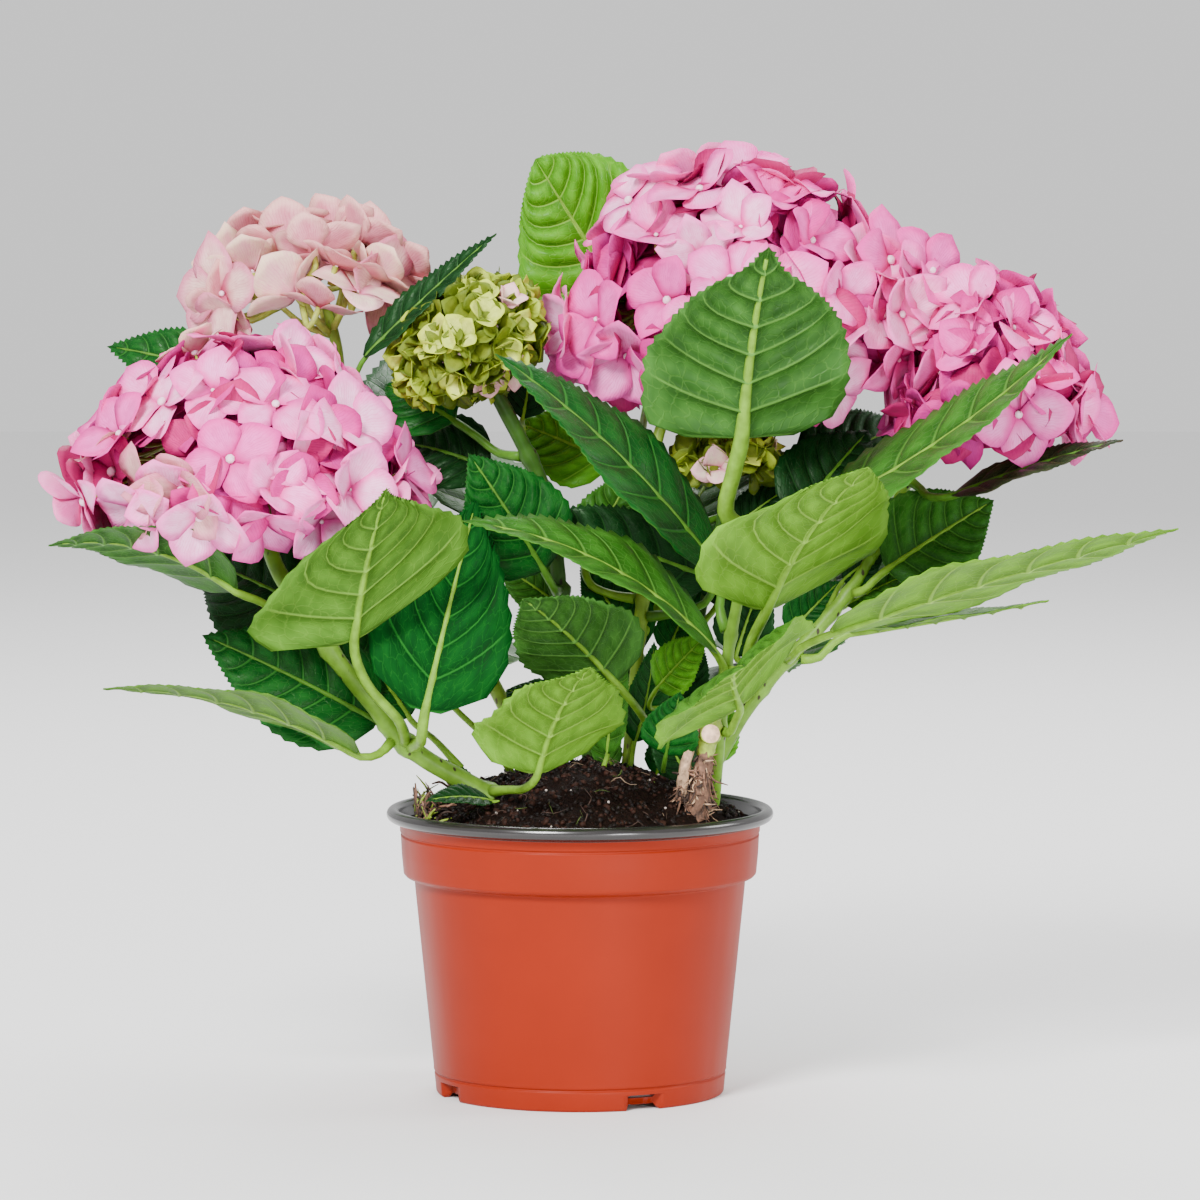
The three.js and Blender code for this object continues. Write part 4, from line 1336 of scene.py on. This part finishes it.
def floretPoints(size, opened, rng):
    # sepals round a bead, alternate ones lifted a little
    count = rng.choice(floretShape["counts"])
    base = opened + rng.uniform(*floretShape["open"])
    blades = []
    for i in range(count):
        odd = i % 2
        length = size * rng.uniform(*sepalShape["length"])
        half = length * rng.uniform(*sepalShape["half"]) * (4 / count) ** 0.5
        tilt = base + rng.uniform(*floretShape["sway"]) + floretShape["raise"] * odd
        points = sepalPoints(length, half, tilt, rng)
        turn = math.tau * i / count + rng.uniform(*floretShape["turn"])
        c, s = math.cos(turn), math.sin(turn)
        points = points @ np.array(((c, s, 0), (-s, c, 0), (0, 0, 1)))
        blades.append(points + (0, 0, floretShape["lift"] * odd))
    return blades


def scattered(mesh, apart, rng, tries=3200):
    # points spread evenly at random over a mesh's faces
    areas = [polygon.area for polygon in mesh.polygons]
    kept = []
    for index in rng.choices(range(len(areas)), weights=areas, k=tries):
        polygon = mesh.polygons[index]
        a, b, c = (mesh.vertices[v].co for v in polygon.vertices[:3])
        u, v = rng.random(), rng.random()
        if u + v > 1:
            u, v = 1 - u, 1 - v
        point = a + (b - a) * u + (c - a) * v
        if all((point - other).length > apart for other, _ in kept):
            kept.append((point, polygon.normal.copy()))
    return kept


def drawnIn(blades, place, basis, tree, allowed, rounds=3, every=3):
    # a floret moves toward the middle of its head until its sepals stay within the head's solid
    place = np.array(place)
    for _ in range(rounds):
        farthest, push = allowed, None
        for blade in blades:
            for point in (place + blade @ basis)[::every]:
                nearest, normal, _, gap = tree.find_nearest(Vector(point))
                if (Vector(point) - nearest).dot(normal) > 0 and gap > farthest:
                    farthest, push = gap, np.array(nearest) - point
        if push is None:
            break
        place = place + push * (farthest - allowed) / farthest
    return place


def makeHead(name, head, skins, firstSkin, beads, twigs):
    node = "head_" + name
    surface, tree = nodes[node].data, treeOf(node)
    rng = random.Random("head " + name)
    low, high = (Vector(corner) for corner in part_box(node))
    centre = (low + high) / 2
    lean, shift = Vector(head["lean"]), np.array(head["shift"]) * mm
    outward, stray, sink = (head[key] for key in ("outward", "stray", "sink"))
    size, apart = head["size"] * mm, head["apart"] * mm
    stamps, florets = [], []
    for layer, (shrink, step) in enumerate(head["layers"]):
        for point, normal in scattered(surface, apart * step, rng):
            bare = noise.noise(point * head["gapScale"]) > head["gaps"]
            if normal.z < head["lowest"] or (layer == 0 and bare):
                continue
            way = (normal + (point - centre).normalized() * outward + lean).normalized()
            way = (way + Vector([rng.gauss(0, stray) for _ in range(3)])).normalized()
            spot = centre + (point - centre) * shrink - way * sink * size
            basis = basisFor(way, rng.uniform(0, math.tau))
            blades = floretPoints(size * rng.uniform(*head["sizes"]), head["open"], rng)
            spot = drawnIn(blades, spot, basis, tree, head["pass"] * size) + shift
            florets.append((spot, way, layer, blades, basis))
    for spot in head["extra"]:
        spot = Vector(spot) * mm
        way = ((spot - centre).normalized() + Vector(head["extraTurn"])).normalized()
        blades = floretPoints(size, head["open"], rng)
        florets.append((np.array(spot), way, 0, blades, basisFor(way, rng.uniform(0, math.tau))))
    for place, way, layer, blades, basis in florets:
        # the layer under draws darker tones, painted shade between the florets
        shares = head["under" if layer else "tones"]
        tone = rng.choices(list(shares), weights=list(shares.values()))[0]
        stamps += [(sepalTemplate, place + blade @ basis, firstSkin[tone]) for blade in blades]
        bead = head["bead"] * mm * rng.uniform(*head["beadSizes"])
        bead *= 1 if rng.random() < head["beads"] else head["smallBead"]
        ball = beadTemplate["co"] * (bead, bead, 0.8 * bead) + (0, 0, 0.7 * bead)
        beads.append((beadTemplate, place + ball @ basis, 1 if tone == "young" else 0))

    def twig(points, *shares):
        twigs.append((twigTemplate, bentLimb(twigTemplate, points, [share * size for share in shares]), 0))

    # boughs from the stem's top, then a twig to each floret
    hub = Vector(stemTops[name]) + Vector(head["drop"]) * mm
    spots, (out, share) = scattered(surface, head["boughsApart"] * apart, rng), head["boughReach"]
    boughs = [hub.lerp(centre + (point - centre) * out, share) for point, _ in spots]
    for end in boughs:
        middle = hub.lerp(end, 0.5) - Vector((0, 0, 0.1)) * (end - hub).length
        twig([hub, middle, end], *head["boughRadii"])
    for place, way, *_ in florets:
        spot = Vector(place)
        start = min(boughs, key=lambda bough: (bough - spot).length)
        middle = spot - way * 0.45 * (spot - start).length
        twig([start, middle, spot], *(radius * head["twig"] for radius in head["twigRadii"]))
    joined(f"{name}Sepals", stamps, skins, [node], "petalWay")
    return len(florets)


def makeHeads():
    skins, firstSkin = [], {}
    for tone, (face, middle, deep, back) in sepalTones.items():
        firstSkin[tone] = len(skins)
        skins.append(petalSkin(f"{tone}Sepal", face, middle, deep))
        skins.append(petalSkin(f"{tone}SepalBack", back, face, deep))
    beads, twigs = [], []
    for name, head in heads.items():
        count = makeHead(name, {**headShape, **head}, skins, firstSkin, beads, twigs)
        print(name, "head:", count, "florets")
    pinkBead = grainy("pinkBead", (0.92, 0.6, 0.74), 900, 0.12, 0.4)
    joined("beads", beads, [pinkBead, grainy("limeBead", (0.5, 0.56, 0.14), 900, 0.2, 0.45)])
    joined("flowerStalks", twigs, [grainy("flowerStalk", (0.34, 0.40, 0.055), 400, 0.25, 0.5)])


makeHeads()
print("flower heads ready")
